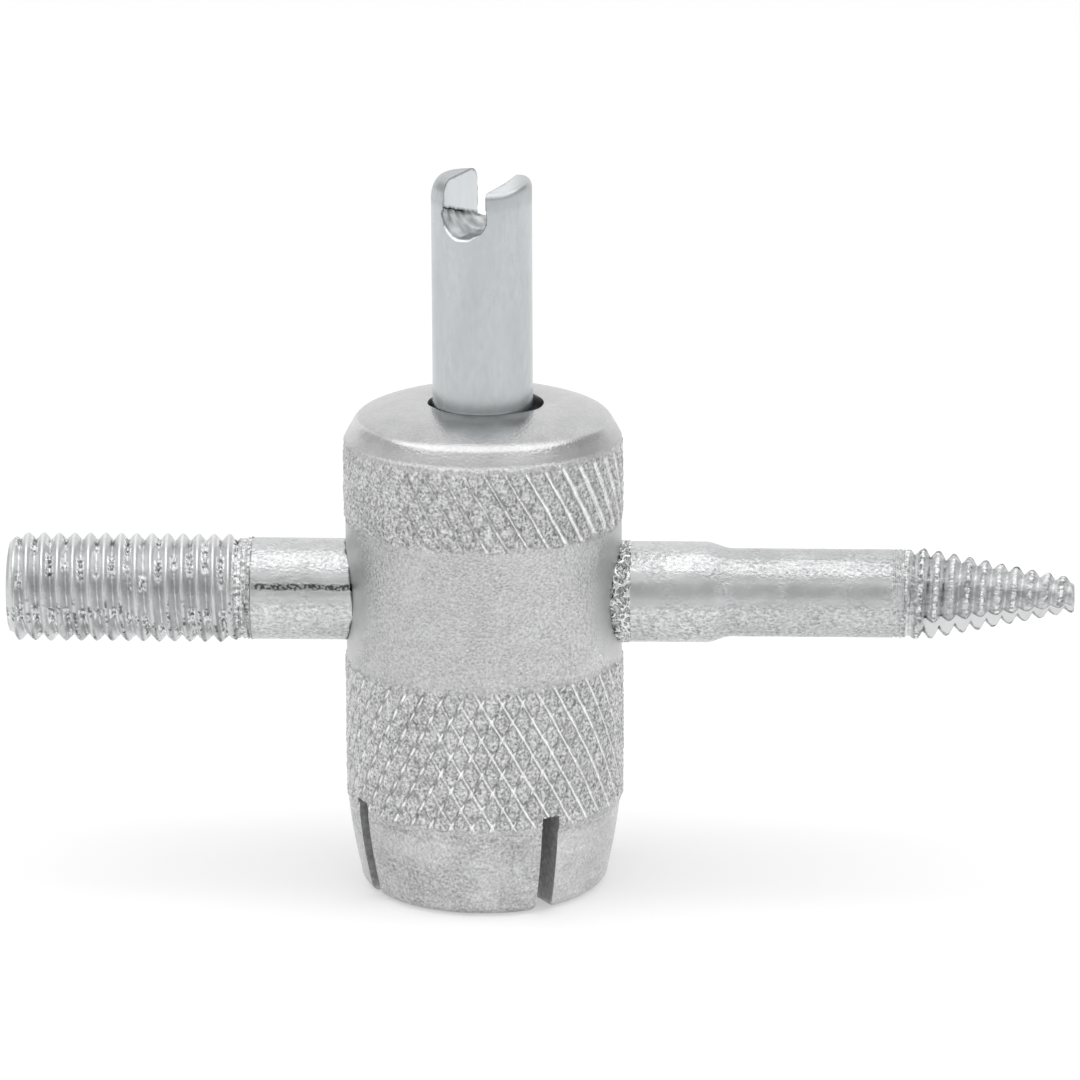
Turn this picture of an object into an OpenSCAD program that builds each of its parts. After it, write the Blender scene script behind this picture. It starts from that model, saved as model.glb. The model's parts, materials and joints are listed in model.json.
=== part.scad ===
// Four-way tyre valve tool: a knurled hub with a split thread die below, a core remover on top,
// a tap on the left and a tapered left-hand extractor on the right. The three bits are pressed in.
// Millimetres. The origin is the middle of the die's mouth, +Z runs up the hub to the remover,
// +X runs out along the extractor.

/* [Hub] */
// Diameter over the crests of the knurl
knurl_d = 12.7; // [12.5:0.05:14]
// Diameter of the plain waist between the two knurled bands
waist_d = 12.5; // [11.5:0.05:12.6]
// Height of the tapered die end
die_h = 4.05; // [3:0.05:6]
// Height of the lower knurled band
lower_knurl_h = 6.85; // [4:0.05:10]
// Height of the plain waist
waist_h = 6.25; // [5.5:0.05:10]
// Height of the upper knurled band
upper_knurl_h = 3.85; // [2.5:0.05:8]
// Height of the rounded crown
crown_h = 1.55; // [0.8:0.05:3]
// Diameter of the flat on top of the crown
crown_flat_d = 6.4; // [5.4:0.1:9]
// Fullness of the crown's corner, where 2 is a plain ellipse
crown_full = 2.2; // [1.6:0.1:4]
// Height of the side pins' axis above the lower knurled band
pin_rise = 2.83; // [2.6:0.01:5]
// Wall left in the hub between one blind hole and the next
web = 1.0; // [0.6:0.1:1.6]
// Radial gap of a pressed joint
press_gap = 0.01; // [0:0.005:0.03]

/* [Knurl] */
// Grooves of each hand around the hub
knurl_lines = 44; // [30:1:60]
// Angle of a groove to the hub's axis
knurl_angle = 30; // [25:1:40]
// Depth of a groove
knurl_depth = 0.22; // [0.1:0.01:0.3]

/* [Die] */
// Outer diameter of the die end at its rim
die_rim_d = 11.4; // [10:0.1:12]
// Bulge of the tapered wall outside a straight cone
die_bulge = 0.06; // [0:0.02:0.3]
// Rounding of the rim's outer edge
rim_round = 0.7; // [0.1:0.05:1]
// Inner diameter of the die thread
die_minor_d = 6.89; // [6.5:0.01:7.1]
// Pitch of the die thread
die_pitch = 0.794; // [0.7:0.001:0.9]
// Length of the die thread
die_thread_l = 6.2; // [5:0.1:7]
// Straight depth of the die's bore
die_depth = 8.3; // [7.5:0.1:8.6]
// Width of the lead-in chamfer at the die's mouth
die_lead = 0.4; // [0.2:0.05:0.6]
// Number of saw cuts across the die end
saw_cuts = 2; // [1:1:3]
// Width of a saw cut
saw_w = 0.8; // [0.5:0.05:1.2]
// Depth of a saw cut
saw_h = 4.7; // [3:0.1:6]
// Turn of the first saw cut to the right of straight ahead
saw_turn = 31; // [0:1:90]

/* [Core remover] */
// Diameter of the remover's shank
remover_d = 4.52; // [4:0.01:4.8]
// Height that the remover stands above the crown
remover_stand = 10.3; // [8:0.1:16]
// Diameter of the foot that is pressed into the hub
remover_foot_d = 4.0; // [3.6:0.01:4.2]
// Width of the cross slot
slot_w = 2.12; // [1.8:0.01:2.4]
// Depth of the cross slot at its round bottom
slot_h = 2.32; // [2:0.01:4]
// Turn of the cross slot to the left of straight ahead
slot_turn = 19.8; // [0:0.1:90]
// Height of the rounded edge at the tip
tip_h = 0.42; // [0.2:0.01:1]
// Width of the rounded edge at the tip
tip_w = 0.4; // [0.3:0.05:0.9]
// Diameter of the recess around the foot of the remover
mouth_d = 5.2; // [5:0.05:5.6]
// Depth of the recess around the foot of the remover
mouth_h = 0.9; // [0.4:0.1:1.5]

/* [Tap pin] */
// Diameter of the tap's shank
tap_d = 4.62; // [4:0.01:5]
// Length of the plain shank outside the hub
tap_shank_l = 4.25; // [2:0.05:8]
// Diameter over the crests of the tap's thread
tap_crest_d = 5.0; // [4.7:0.01:5.3]
// Diameter at the root of the tap's thread
tap_root_d = 4.2; // [3.8:0.01:4.3]
// Pitch of the tap's thread
tap_pitch = 0.7056; // [0.6:0.0001:0.8]
// Length of the threaded end
tap_thread_l = 11.05; // [6:0.05:16]
// Width of the chamfer at the tap's end
tap_chamfer = 0.2; // [0.1:0.05:0.8]
// Turns over which the thread rises from the tap's end
tap_lead = 1.2; // [0.5:0.1:4]
// Turn of the tap's thread about its axis
tap_turn = 180; // [0:1:359]

/* [Extractor pin] */
// Diameter of the seat and collar
collar_d = 4.57; // [4.2:0.01:5]
// Length of the press knurl that shows outside the hub
seat_show = 0.4; // [0.1:0.05:1]
// Depth of the press knurl's grooves
seat_groove = 0.12; // [0.05:0.01:0.2]
// Number of grooves around the press knurl
seat_grooves = 24; // [12:1:36]
// Length of the smooth collar
collar_l = 3.4; // [2:0.1:6]
// Length of the blend from the collar down to the neck
blend_l = 1.2; // [0.5:0.1:2]
// Diameter of the neck
neck_d = 4.0; // [3.6:0.01:4.2]
// Length of the plain neck
neck_l = 7.8; // [4:0.05:12]
// Length of the tapered thread
extractor_l = 7.65; // [5:0.05:12]
// Diameter of the cone over the crests where the tapered thread begins
extractor_crest_d = 4.4; // [3.8:0.01:4.6]
// Largest diameter that the crests keep, a little over the neck
extractor_cap_d = 4.08; // [3.8:0.01:4.4]
// Diameter over the crests at the tip
extractor_tip_d = 1.42; // [1:0.01:2]
// Pitch of the extractor's thread
extractor_pitch = 0.7056; // [0.6:0.0001:0.8]
// Diameter at the root where the tapered thread begins
extractor_root_d = 3.6; // [3:0.01:4]
// Diameter at the root at the tip
extractor_root_tip_d = 1.0; // [0.7:0.01:1.6]
// Turn of the extractor's thread about its axis
extractor_turn = 190; // [0:1:359]
// Distance of the extractor's flats from the axis as a share of its crest
extractor_flat = 0.917; // [0.88:0.001:0.97]
// Turn of the first flat below straight ahead
flat_turn = 41; // [0:1:90]
// Number of flats along the tapered thread
flats = 2; // [1:1:4]

/* [Hidden] */
$fn = 64;
zinc = [0.76, 0.78, 0.79];
zinc_bright = [0.80, 0.82, 0.83];

// Heights of the hub's sections, from the mouth of the die up
lower_knurl_z = die_h;
waist_z = lower_knurl_z + lower_knurl_h;
upper_knurl_z = waist_z + waist_h;
crown_z = upper_knurl_z + upper_knurl_h;
body_h = crown_z + crown_h;
pin_z = waist_z + pin_rise;

waist_r = waist_d / 2;
knurl_r = knurl_d / 2;
groove_r = knurl_r - knurl_depth;
// Depth of the plain core under the bottoms of the grooves, and of the bands' own inner wall under that
core_below = 0.1;
core_r = groove_r - core_below;
band_wall = 0.4;
ring_r = core_r - band_wall;
// Width of the step at each end of a knurled band
knurl_step = 0.05;

// The pressed holes stop short of each other by the web
pin_end_x = web / 2;
pin_r_max = max(tap_d, collar_d) / 2;
remover_seat_z = pin_z + pin_r_max + web;
drill_slope = tan(31);
die_minor_r = die_minor_d / 2;
// Reach past a face that a cut opens
past = 0.5;

arc_steps = 12;
thread_steps = 24;
saw_pitch = 180 / saw_cuts;
// A 60 degree thread: height of a flank over its width, depth over pitch and widest half foot over pitch
flank = 1 / tan(30);
thread_deep = 0.541;
foot_most = 0.49;

// Points of an elliptical quarter arc about c, from angle a0 to a1
function arc(c, rx, ry, a0, a1, n = arc_steps) =
    [for (i = [0:n]) let (a = a0 + (a1 - a0) * i / n) c + [rx * cos(a), ry * sin(a)]];

// Points of a rounded corner about c, from its side to its top
function corner(c, rx, ry, full, n = arc_steps) =
    [for (i = [0:n]) let (a = 90 * i / n) c + [rx * pow(cos(a), 2 / full), ry * pow(sin(a), 2 / full)]];

// A point at radius r, turned by a about Z, at height z
function polar(r, a, z) = [r * cos(a), r * sin(a), z];

// The hub's outline without its knurl: die end, groove for each band, waist and crown
function hub_outline() = let (
        rim_r = die_rim_d / 2,
        rise = [for (i = [1:arc_steps - 1]) let (t = i / arc_steps)
            [rim_r + (waist_r - rim_r) * t + 4 * die_bulge * t * (1 - t),
             rim_round + (die_h - rim_round) * t]])
    concat(
        [[0, 0]],
        arc([rim_r - rim_round, rim_round], rim_round, rim_round, -90, 0),
        rise,
        [[waist_r, lower_knurl_z], [core_r, lower_knurl_z], [core_r, waist_z], [waist_r, waist_z],
         [waist_r, upper_knurl_z], [core_r, upper_knurl_z], [core_r, crown_z]],
        corner([crown_flat_d / 2, crown_z], waist_r - crown_flat_d / 2, crown_h, crown_full),
        [[0, body_h]]);

// A closed ring whose outer wall is a field of pyramids between crossing grooves
module knurl_band(z0, h) {
    cols = 2 * knurl_lines;
    half_pitch = PI * knurl_r / knurl_lines / tan(knurl_angle);
    rows = max(2, round(h / half_pitch));
    heights = concat([z0], [for (j = [0:rows]) z0 + knurl_step + (h - 2 * knurl_step) * j / rows], [z0 + h]);
    last = len(heights) - 1;
    sunk_r = core_r - core_below;
    function crest_here(i, j) = (i + j) % 2 == 0;
    function wall_r(i, j) = (j == 0 || j == last) ? sunk_r : crest_here(i, j) ? knurl_r : groove_r;
    outer = [for (j = [0:last]) for (i = [0:cols - 1]) polar(wall_r(i, j), i * 360 / cols, heights[j])];
    inner = [for (z = [z0, z0 + h]) for (i = [0:cols - 1]) polar(ring_r, i * 360 / cols, z)];
    base = len(outer);
    function out(i, j) = j * cols + i % cols;
    function inn(i, j) = base + j * cols + i % cols;
    walls = [for (j = [0:last - 1]) for (i = [0:cols - 1])
        each crest_here(i, j)
            ? [[out(i, j), out(i, j + 1), out(i + 1, j)], [out(i + 1, j), out(i, j + 1), out(i + 1, j + 1)]]
            : [[out(i, j), out(i + 1, j + 1), out(i + 1, j)], [out(i, j), out(i, j + 1), out(i + 1, j + 1)]]];
    bore = [for (i = [0:cols - 1])
        each [[inn(i, 0), inn(i + 1, 0), inn(i, 1)], [inn(i + 1, 0), inn(i + 1, 1), inn(i, 1)]]];
    lower = [for (i = [0:cols - 1])
        each [[inn(i, 0), out(i, 0), out(i + 1, 0)], [inn(i, 0), out(i + 1, 0), inn(i + 1, 0)]]];
    upper = [for (i = [0:cols - 1])
        each [[inn(i, 1), out(i + 1, last), out(i, last)], [inn(i, 1), inn(i + 1, 1), out(i + 1, last)]]];
    polyhedron(concat(outer, inner), concat(walls, bore, lower, upper), convexity = 10);
}

// A helical tooth swept about Z. rings lists [angle, four points of the tooth as [radius, height]]
module helical_tooth(rings) {
    n = len(rings);
    points = [for (g = rings) for (p = g[1]) polar(p[0], g[0], p[1])];
    sides = [for (k = [0:n - 2]) for (i = [0:3]) let (
            a = 4 * k + i, b = 4 * k + (i + 1) % 4, c = a + 4, d = b + 4)
        each [[a, b, c], [b, d, c]]];
    e = 4 * (n - 1);
    polyhedron(points, concat(sides, [[0, 2, 1], [0, 3, 2], [e, e + 1, e + 2], [e, e + 2, e + 3]]),
        convexity = 10);
}

// Rings of a screw thread that climbs from z0 to z1, with its root and crest radii at each end. hand is 1
// for a right-hand thread and -1 for a left-hand one. The crest stays under cap, and the tooth sinks into the
// core over each fade. turn sets where it starts.
function screw_rings(z0, z1, pitch, hand, turn, root0, root1, crest0, crest1, cap, fade0, fade1, sink) =
    let (n = ceil(thread_steps * (z1 - z0) / pitch))
    [for (k = [0:n]) let (
            z = z0 + (z1 - z0) * k / n,
            t = k / n,
            root = root0 + (root1 - root0) * t,
            full = min(cap, crest0 + (crest1 - crest0) * t),
            shown = min(1, (z - z0) / fade0, (z1 - z) / fade1),
            crest = root - sink / 2 + (full - root + sink / 2) * max(0, shown),
            tip = pitch / 16,
            foot = min(tip + (crest - root + sink) / flank, foot_most * pitch))
        [turn + hand * 360 * (z - z0) / pitch,
         [for (p = [[root - sink, -foot], [crest, -tip], [crest, tip], [root - sink, foot]])
            [p[0], z + hand * p[1]]]]];

module body() {
    color(zinc) difference() {
        union() {
            rotate_extrude() polygon(hub_outline());
            knurl_band(lower_knurl_z, lower_knurl_h);
            knurl_band(upper_knurl_z, upper_knurl_h);
        }
        // Seat and mouth of the remover
        translate([0, 0, remover_seat_z]) cylinder(r = remover_foot_d / 2 + press_gap, h = body_h);
        translate([0, 0, body_h - mouth_h]) cylinder(d = mouth_d, h = mouth_h + past);
        // Seats of the two side pins
        translate([-pin_end_x, 0, pin_z]) rotate([0, -90, 0]) cylinder(r = tap_d / 2 + press_gap, h = knurl_d);
        translate([pin_end_x, 0, pin_z]) rotate([0, 90, 0]) cylinder(r = collar_d / 2 + press_gap, h = knurl_d);
        die_cuts();
    }
}

// Bore, drill point, lead-in, thread and saw cuts of the die end
module die_cuts() {
    lead_r = die_minor_r + die_lead;
    rotate_extrude() polygon([
        [0, -past], [lead_r, -past], [lead_r, 0], [die_minor_r, die_lead], [die_minor_r, die_depth],
        [0, die_depth + die_minor_r * drill_slope]]);
    helical_tooth(die_rings());
    for (k = [0:saw_cuts - 1])
        rotate(saw_turn + k * saw_pitch)
            translate([-saw_w / 2, -knurl_d, -past]) cube([saw_w, 2 * knurl_d, saw_h + past]);
}

// Rings of the groove that makes the die's thread: it opens into the bore and runs out at its top
function die_rings() = let (
        z0 = -die_pitch,
        n = ceil(thread_steps * (die_thread_l - z0) / die_pitch),
        deep = thread_deep * die_pitch,
        open = 0.1,
        land = die_pitch / 16)
    [for (k = [0:n]) let (
            z = z0 + (die_thread_l - z0) * k / n,
            shown = min(1, 2 * (die_thread_l - z) / die_pitch),
            root = die_minor_r + (deep + open / 2) * shown - open / 2,
            foot = land + (root - die_minor_r + open) / flank)
        [360 * (z - z0) / die_pitch,
         [[die_minor_r - open, z - foot], [root, z - land], [root, z + land], [die_minor_r - open, z + foot]]]];

// Pressed foot, shank whose shoulder is level with the crown, rounded tip and cross slot
module core_remover() {
    r = remover_d / 2;
    foot_r = remover_foot_d / 2;
    tip_z = body_h + remover_stand;
    color(zinc_bright) difference() {
        rotate_extrude() polygon(concat(
            [[0, remover_seat_z], [foot_r, remover_seat_z], [foot_r, body_h], [r, body_h]],
            arc([r - tip_w, tip_z - tip_h], tip_w, tip_h, 0, 90),
            [[0, tip_z]]));
        rotate(-slot_turn) translate([0, 0, tip_z - slot_h + slot_w / 2]) {
            rotate([90, 0, 0]) cylinder(d = slot_w, h = 2 * remover_d, center = true);
            translate([-slot_w / 2, -remover_d, 0]) cube([slot_w, 2 * remover_d, slot_h]);
        }
    }
}

// Shank and right-hand thread, drawn up Z from the hub's axis and laid out to the left
module tap_pin() {
    thread_x = waist_r + tap_shank_l;
    tip_x = thread_x + tap_thread_l;
    root_r = tap_root_d / 2;
    crest_r = tap_crest_d / 2;
    sink = 0.15;
    color(zinc) translate([0, 0, pin_z]) rotate([0, -90, 0]) union() {
        rotate_extrude() polygon([
            [0, pin_end_x], [tap_d / 2, pin_end_x], [tap_d / 2, thread_x], [root_r, thread_x + tap_pitch],
            [root_r, tip_x - tap_chamfer], [root_r - tap_chamfer, tip_x], [0, tip_x]]);
        helical_tooth(screw_rings(thread_x, tip_x - tap_pitch / 4, tap_pitch, 1, tap_turn,
            root_r, root_r, crest_r, crest_r, crest_r, 2 * tap_pitch, tap_lead * tap_pitch, sink));
    }
}

// Pressed seat, collar, neck and tapered left-hand thread, drawn up Z and laid out to the right
module extractor_pin() {
    seat_x = waist_r + seat_show;
    collar_x = seat_x + collar_l;
    neck_x = collar_x + blend_l;
    thread_x = neck_x + neck_l;
    tip_x = thread_x + extractor_l;
    r = collar_d / 2;
    neck_r = neck_d / 2;
    crest_r = extractor_crest_d / 2;
    tip_r = extractor_tip_d / 2;
    root_r = extractor_root_d / 2;
    root_tip_r = extractor_root_tip_d / 2;
    taper = atan(extractor_flat * (crest_r - tip_r) / extractor_l);
    sink = 0.1;
    color(zinc) translate([0, 0, pin_z]) rotate([0, 90, 0]) difference() {
        union() {
            rotate_extrude() polygon([
                [0, pin_end_x], [r, pin_end_x], [r, collar_x], [neck_r, neck_x], [neck_r, thread_x],
                [root_r, thread_x + extractor_pitch / 2], [root_tip_r, tip_x], [0, tip_x]]);
            helical_tooth(screw_rings(thread_x, tip_x - extractor_pitch / 4, extractor_pitch, -1, extractor_turn,
                root_r, root_tip_r, crest_r, tip_r, extractor_cap_d / 2, extractor_pitch, extractor_pitch / 2, sink));
        }
        // Grooves of the press knurl, each a square bar set on its edge
        for (k = [0:seat_grooves - 1])
            rotate(k * 360 / seat_grooves) translate([r, 0, seat_x / 2]) rotate(45)
                cube([seat_groove * sqrt(2), seat_groove * sqrt(2), seat_x], center = true);
        // Flats along the taper
        for (k = [0:flats - 1])
            rotate(flat_turn - 90 + k * 360 / flats)
                translate([extractor_flat * crest_r, 0, thread_x]) rotate([0, -taper, 0])
                    translate([0, -crest_r, extractor_pitch / 2]) cube([crest_r, 2 * crest_r, 2 * extractor_l]);
    }
}

body();
core_remover();
tap_pin();
extractor_pin();
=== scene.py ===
"""Valve tool in bright zinc plate: a knurled hub with a split die, and three bits pressed into it."""

import json
import math
from collections import namedtuple

import bmesh
import bpy
from bpy.props import FloatProperty, FloatVectorProperty, IntProperty, PointerProperty
from mathutils import Matrix, Vector, noise


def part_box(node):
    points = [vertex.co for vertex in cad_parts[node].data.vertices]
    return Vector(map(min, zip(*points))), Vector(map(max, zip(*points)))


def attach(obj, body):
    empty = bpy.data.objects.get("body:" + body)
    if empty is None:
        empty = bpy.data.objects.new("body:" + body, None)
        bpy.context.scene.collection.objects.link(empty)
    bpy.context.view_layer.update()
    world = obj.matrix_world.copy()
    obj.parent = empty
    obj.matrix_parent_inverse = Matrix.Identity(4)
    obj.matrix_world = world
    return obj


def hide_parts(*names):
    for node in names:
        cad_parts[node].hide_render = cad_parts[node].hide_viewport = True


bl_info = {
    "name": "Valve tool",
    "version": (1, 0, 0),
    "blender": (4, 5, 0),
    "location": "View3D > Sidebar > Valve tool",
    "description": "Builds a four-way tyre valve tool and the studio it stands in",
    "category": "Add Mesh",
}

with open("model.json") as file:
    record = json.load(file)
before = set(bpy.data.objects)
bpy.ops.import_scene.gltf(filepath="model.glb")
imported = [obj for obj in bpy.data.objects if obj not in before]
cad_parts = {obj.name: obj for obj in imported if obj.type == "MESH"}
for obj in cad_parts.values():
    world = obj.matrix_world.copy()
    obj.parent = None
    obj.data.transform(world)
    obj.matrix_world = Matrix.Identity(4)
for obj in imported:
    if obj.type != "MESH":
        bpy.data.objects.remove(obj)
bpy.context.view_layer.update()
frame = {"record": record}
MM = 0.001


def mount(name):
    """Place of one of the part's mounts."""
    for entry in frame["record"]["mounts"]:
        if entry["name"] == name:
            return Vector(entry["pos_m"])
    raise ValueError(f"the part has no mount named {name}")


# Places that the solids set
HUB_LOW, HUB_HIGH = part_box("body")
HUB_TOP = HUB_HIGH.z
PIN_Z = mount("tap_thread").z
TAP_END = -mount("tap_thread").x
EXTRACTOR_END = mount("extractor_thread").x
REMOVER_TOP = mount("core_remover_slot").z

# Columns of a plain hub ring, and how many columns of the knurl meet one of them
PLAIN_COLUMNS = 220
KNURL_SPLIT = 4
KNURL_COLUMNS = PLAIN_COLUMNS * KNURL_SPLIT
PIN_COLUMNS = 360
HIDDEN_DEPTH = 1.0 * MM

# How near a point has to lie to count as on the remover's shank, on a flat face or on a flute
ON_SHANK = 0.005 * MM
ON_FACE = 0.01 * MM
ON_FLUTE = 0.004 * MM

# Depth of a 60 degree thread as a share of its pitch, and slope of a drill point
THREAD_DEPTH = 0.541
DRILL_SLOPE = math.radians(31.0)
# Turn of the most worn side of the knurl, and of the dull strip along the side pins
WORN_TURN = math.radians(-65.0)
STRIP_TURN = math.radians(18.0)
# Spacing of the rings scored where a thread begins
SCORE_PITCH = 0.19 * MM
# Width and depth of the floor, and how far it lies under the die's rim
FLOOR_SIZE = 3.0
FLOOR_DROP = 0.01 * MM


# Settings

def length(name, description, millimetres):
    """Length setting, with its default given in millimetres."""
    return FloatProperty(
        name=name, description=description, default=millimetres * MM, min=0.0, precision=5, unit="LENGTH")


def angle(name, description, degrees):
    """Angle setting, with its default given in degrees."""
    return FloatProperty(name=name, description=description, default=math.radians(degrees), subtype="ANGLE")


def share(name, description, default):
    """Setting between nothing and all."""
    return FloatProperty(
        name=name, description=description, default=default, min=0.0, max=1.0, subtype="FACTOR")


def colour(name, description, default):
    """Colour setting."""
    return FloatVectorProperty(
        name=name, description=description, default=default, min=0.0, max=1.0, size=3, subtype="COLOR")


class HubSettings(bpy.types.PropertyGroup):
    """Sizes and finish of the knurled hub"""

    knurl_diameter: length("Knurl diameter", "Over the crests of the knurl", (HUB_HIGH.x - HUB_LOW.x) / MM)
    waist_diameter: length("Waist diameter", "Plain part between the knurled bands", 12.5)
    die_height: length("Die height", "Tapered end below the knurl", 4.05)
    lower_knurl: length("Lower knurl", "Height of the lower knurled band", 6.85)
    waist_height: length("Waist height", "Height of the plain waist", 6.25)
    upper_knurl: length("Upper knurl", "Height of the upper knurled band", 3.85)
    crown_flat: length("Crown flat", "Diameter of the flat on top of the crown", 6.4)
    crease_diameter: length("Crease diameter", "Edge between the crown's dome and its corner", 11.4)
    crease_drop: length("Crease drop", "How far that edge lies under the top", 0.59)
    crease_turn: angle("Crease turn", "Elevation of the corner's face just under that edge", 34.0)
    corner_turn: angle("Corner turn", "Elevation of the corner's face just over the knurl", 27.0)
    crease_round: length("Crease rounding", "How far the rounding of that edge reaches", 0.17)
    groove_lines: IntProperty(
        name="Groove lines", description="Grooves of each hand around the knurl", default=42)
    groove_angle: angle("Groove angle", "Angle of a groove to the hub's axis", 30.0)
    groove_depth: length("Groove depth", "Depth of a knurl groove", 0.09)
    groove_width: length("Groove width", "Width of a knurl groove at its mouth", 0.2)
    rim_diameter: length("Rim diameter", "Outside of the die's rim", 11.4)
    rim_round: length("Rim rounding", "Rounding of the rim's outer edge", 0.7)
    die_bulge: length("Die bulge", "Bulge of the tapered wall", 0.06)
    finger_inset: length("Finger inset", "How far the finger right of the front saw cut lies in", 0.08)
    bore_diameter: length("Bore diameter", "Inner diameter of the die's thread", 6.89)
    bore_pitch: length("Bore pitch", "Pitch of the die's thread", 0.794)
    bore_thread: length("Bore thread", "Length of the die's thread", 6.2)
    bore_depth: length("Bore depth", "Straight depth of the die's bore", 8.3)
    bore_lead: length("Bore lead", "Lead-in chamfer at the mouth", 0.4)
    saw_width: length("Saw cut width", "Width of a saw cut", 0.86)
    saw_depth: length("Saw cut depth", "Depth of a saw cut", 4.7)
    saw_round: length("Saw cut rounding", "Rounding of the fingers' corners at the rim", 0.4)
    saw_turn: angle("Saw cut turn", "Turn of the first saw cut to the right of the front", 31.0)
    mouth_diameter: length("Mouth diameter", "Recess around the foot of the core remover", 5.2)
    mouth_depth: length("Mouth depth", "Depth of that recess", 0.9)
    mouth_shift: length("Mouth shift", "How far the recess lies to the right of the shank", 0.13)
    mouth_gap: length("Mouth gap", "Gap at the closed front of that recess", 0.05)
    joint_gap: length("Joint gap", "Gap that shows around a pressed side pin", 0.025)
    zinc: colour("Zinc", "Plate on the hub", (0.575, 0.576, 0.578))
    steel: colour("Bare steel", "Dull steel in the bore and saw cuts", (0.56, 0.56, 0.565))


class RemoverSettings(bpy.types.PropertyGroup):
    """Sizes and finish of the core remover"""

    diameter: length("Diameter", "Diameter of the shank", 4.52)
    slot_width: length("Slot width", "Width of the cross slot", 2.12)
    slot_depth: length("Slot depth", "Depth of the cross slot at its round bottom", 2.32)
    slot_turn: angle("Slot turn", "Turn of the cross slot to the left of the front", 19.8)
    slot_inset: length("Slot inset", "How far the slot's walls stand in from its round bottom", 0.06)
    slot_rise: length("Slot rise", "Height of the sawn floor over the hole's axis, at the front", 0.4)
    slot_fall: angle("Slot fall", "Fall of the sawn floor to the back", 16.0)
    tip_height: length("Tip height", "Height of the rounding around the tip", 0.85)
    tip_width: length("Tip width", "Width of the rounding around the tip", 0.7)
    tip_lean: length("Tip lean", "How much higher the tip stands on its left", 0.16)
    tip_stand: length("Tip stand", "How far the tip's middle stands over the solid's", 0.1)
    prong_drop: length("Prong drop", "How much lower the right prong stands", 0.3)
    prong_rise: length("Prong rise", "How far the right prong's top rises to its outer side", 0.27)
    prong_round: share("Prong rounding", "Share of the tip's rounding that the right prong has", 0.5)
    edge_break: length("Edge break", "Width of the broken edges of the slot", 0.1)
    zinc: colour("Zinc", "Plate on the core remover", (0.520, 0.543, 0.555))


class TapSettings(bpy.types.PropertyGroup):
    """Sizes and finish of the tap"""

    diameter: length("Diameter", "Diameter of the plain shank", 4.62)
    shank: length("Shank", "Length of the plain shank outside the hub", 4.25)
    crest: length("Crest diameter", "Over the crests of the thread", 5.0)
    root: length("Root diameter", "At the root of the thread", 4.2)
    pitch: length("Pitch", "Pitch of the right-hand thread", 0.7056)
    phase: share("Phase", "Turn of the thread about its axis", 0.631)
    zinc: colour("Zinc", "Plate on the tap", (0.585, 0.590, 0.594))


class ExtractorSettings(bpy.types.PropertyGroup):
    """Sizes and finish of the extractor"""

    collar: length("Collar diameter", "Diameter of the seat and collar", 4.57)
    seat: length("Seat", "Length of press knurl that shows outside the hub", 0.4)
    collar_length: length("Collar length", "Length of the smooth collar", 3.4)
    blend: length("Blend", "Length of the blend down to the neck", 1.2)
    neck: length("Neck diameter", "Diameter of the neck", 4.0)
    neck_length: length("Neck length", "Length of the plain neck", 7.8)
    crest: length("Crest diameter", "Crest cone where the thread begins", 4.48)
    crest_most: length("Largest crest", "Largest diameter that the crests keep", 4.08)
    crest_tip: length("Tip crest", "Over the crests at the tip", 1.5)
    root: length("Root diameter", "Root where the thread begins", 3.6)
    root_tip: length("Tip root", "At the root at the tip", 1.0)
    pitch: length("Pitch", "Pitch of the left-hand thread", 0.7056)
    phase: share("Phase", "Turn of the thread about its axis", 0.645)
    flute_share: share("Flute", "Distance of a flute's face from the axis as a share of the crest", 0.643)
    flute_turn: angle("Flute turn", "Turn of the first flute's upper edge below the front", 24.0)
    flute_face: angle("Flute face", "Turn of the first flute's face below the front", 12.0)
    run_in: length("Run-in", "Length of the scored rings before the thread", 0.65)
    zinc: colour("Zinc", "Plate on the extractor", (0.585, 0.590, 0.594))


class StageSettings(bpy.types.PropertyGroup):
    """Camera, floor and light"""

    azimuth: angle("Azimuth", "Camera's turn to the right of the front", 2.6)
    elevation: angle("Elevation", "Camera's height above the horizon", 16.2)
    roll: angle("Roll", "Camera's roll", -0.24)
    distance: length("Distance", "From the camera to its target", 300.0)
    lens: FloatProperty(name="Lens", description="Focal length in millimetres", default=221.0)
    target: FloatVectorProperty(
        name="Target", description="Point that the camera looks at", default=(2.55 * MM, 0.0, 16.11 * MM),
        size=3, unit="LENGTH", precision=5)
    floor: colour("Floor", "Pale floor", (0.75, 0.75, 0.75))
    floor_glow: share("Floor glow", "White added to the floor where it is seen", 0.38)
    room_light: share("Room light", "Even light from all sides", 0.55)
    softbox: FloatProperty(name="Softbox", description="Brightness of the overhead softbox", default=1.75)
    softbox_height: length("Softbox height", "Height of the softbox over the side pins", 450.0)
    softbox_front: angle("Softbox front", "Elevation of the softbox's front edge", 58.0)
    softbox_back: angle("Softbox back", "Elevation of the softbox's back edge", 74.0)
    softbox_width: length("Softbox width", "Width of the softbox", 1000.0)
    wall: FloatProperty(name="Wall", description="Brightness of the grey wall behind the camera", default=0.6)
    wall_distance: length("Wall distance", "From the tool to the wall behind the camera", 500.0)
    wall_height: length("Wall height", "Height of the wall behind the camera", 420.0)


# Shaping helpers

# Finish of a place: how grained its plate is, how light it is, and how dull; its lightness holds painted
# light and shade as well as the plate's own tone
Finish = namedtuple("Finish", "frost tone matt", defaults=(0.0,))


def smooth(start, end, value):
    """Even rise from 0 at start to 1 at end, with level ends."""
    share_done = min(1.0, max(0.0, (value - start) / (end - start)))
    return share_done * share_done * (3.0 - 2.0 * share_done)


def mix(first, second, amount):
    """Value between two others."""
    return first + (second - first) * amount


def grain(point, size, seed=0.0):
    """Noise between about -1 and 1 with spots of the given size."""
    return noise.noise(point / size + Vector((seed, 1.7 * seed, -seed)))


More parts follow.
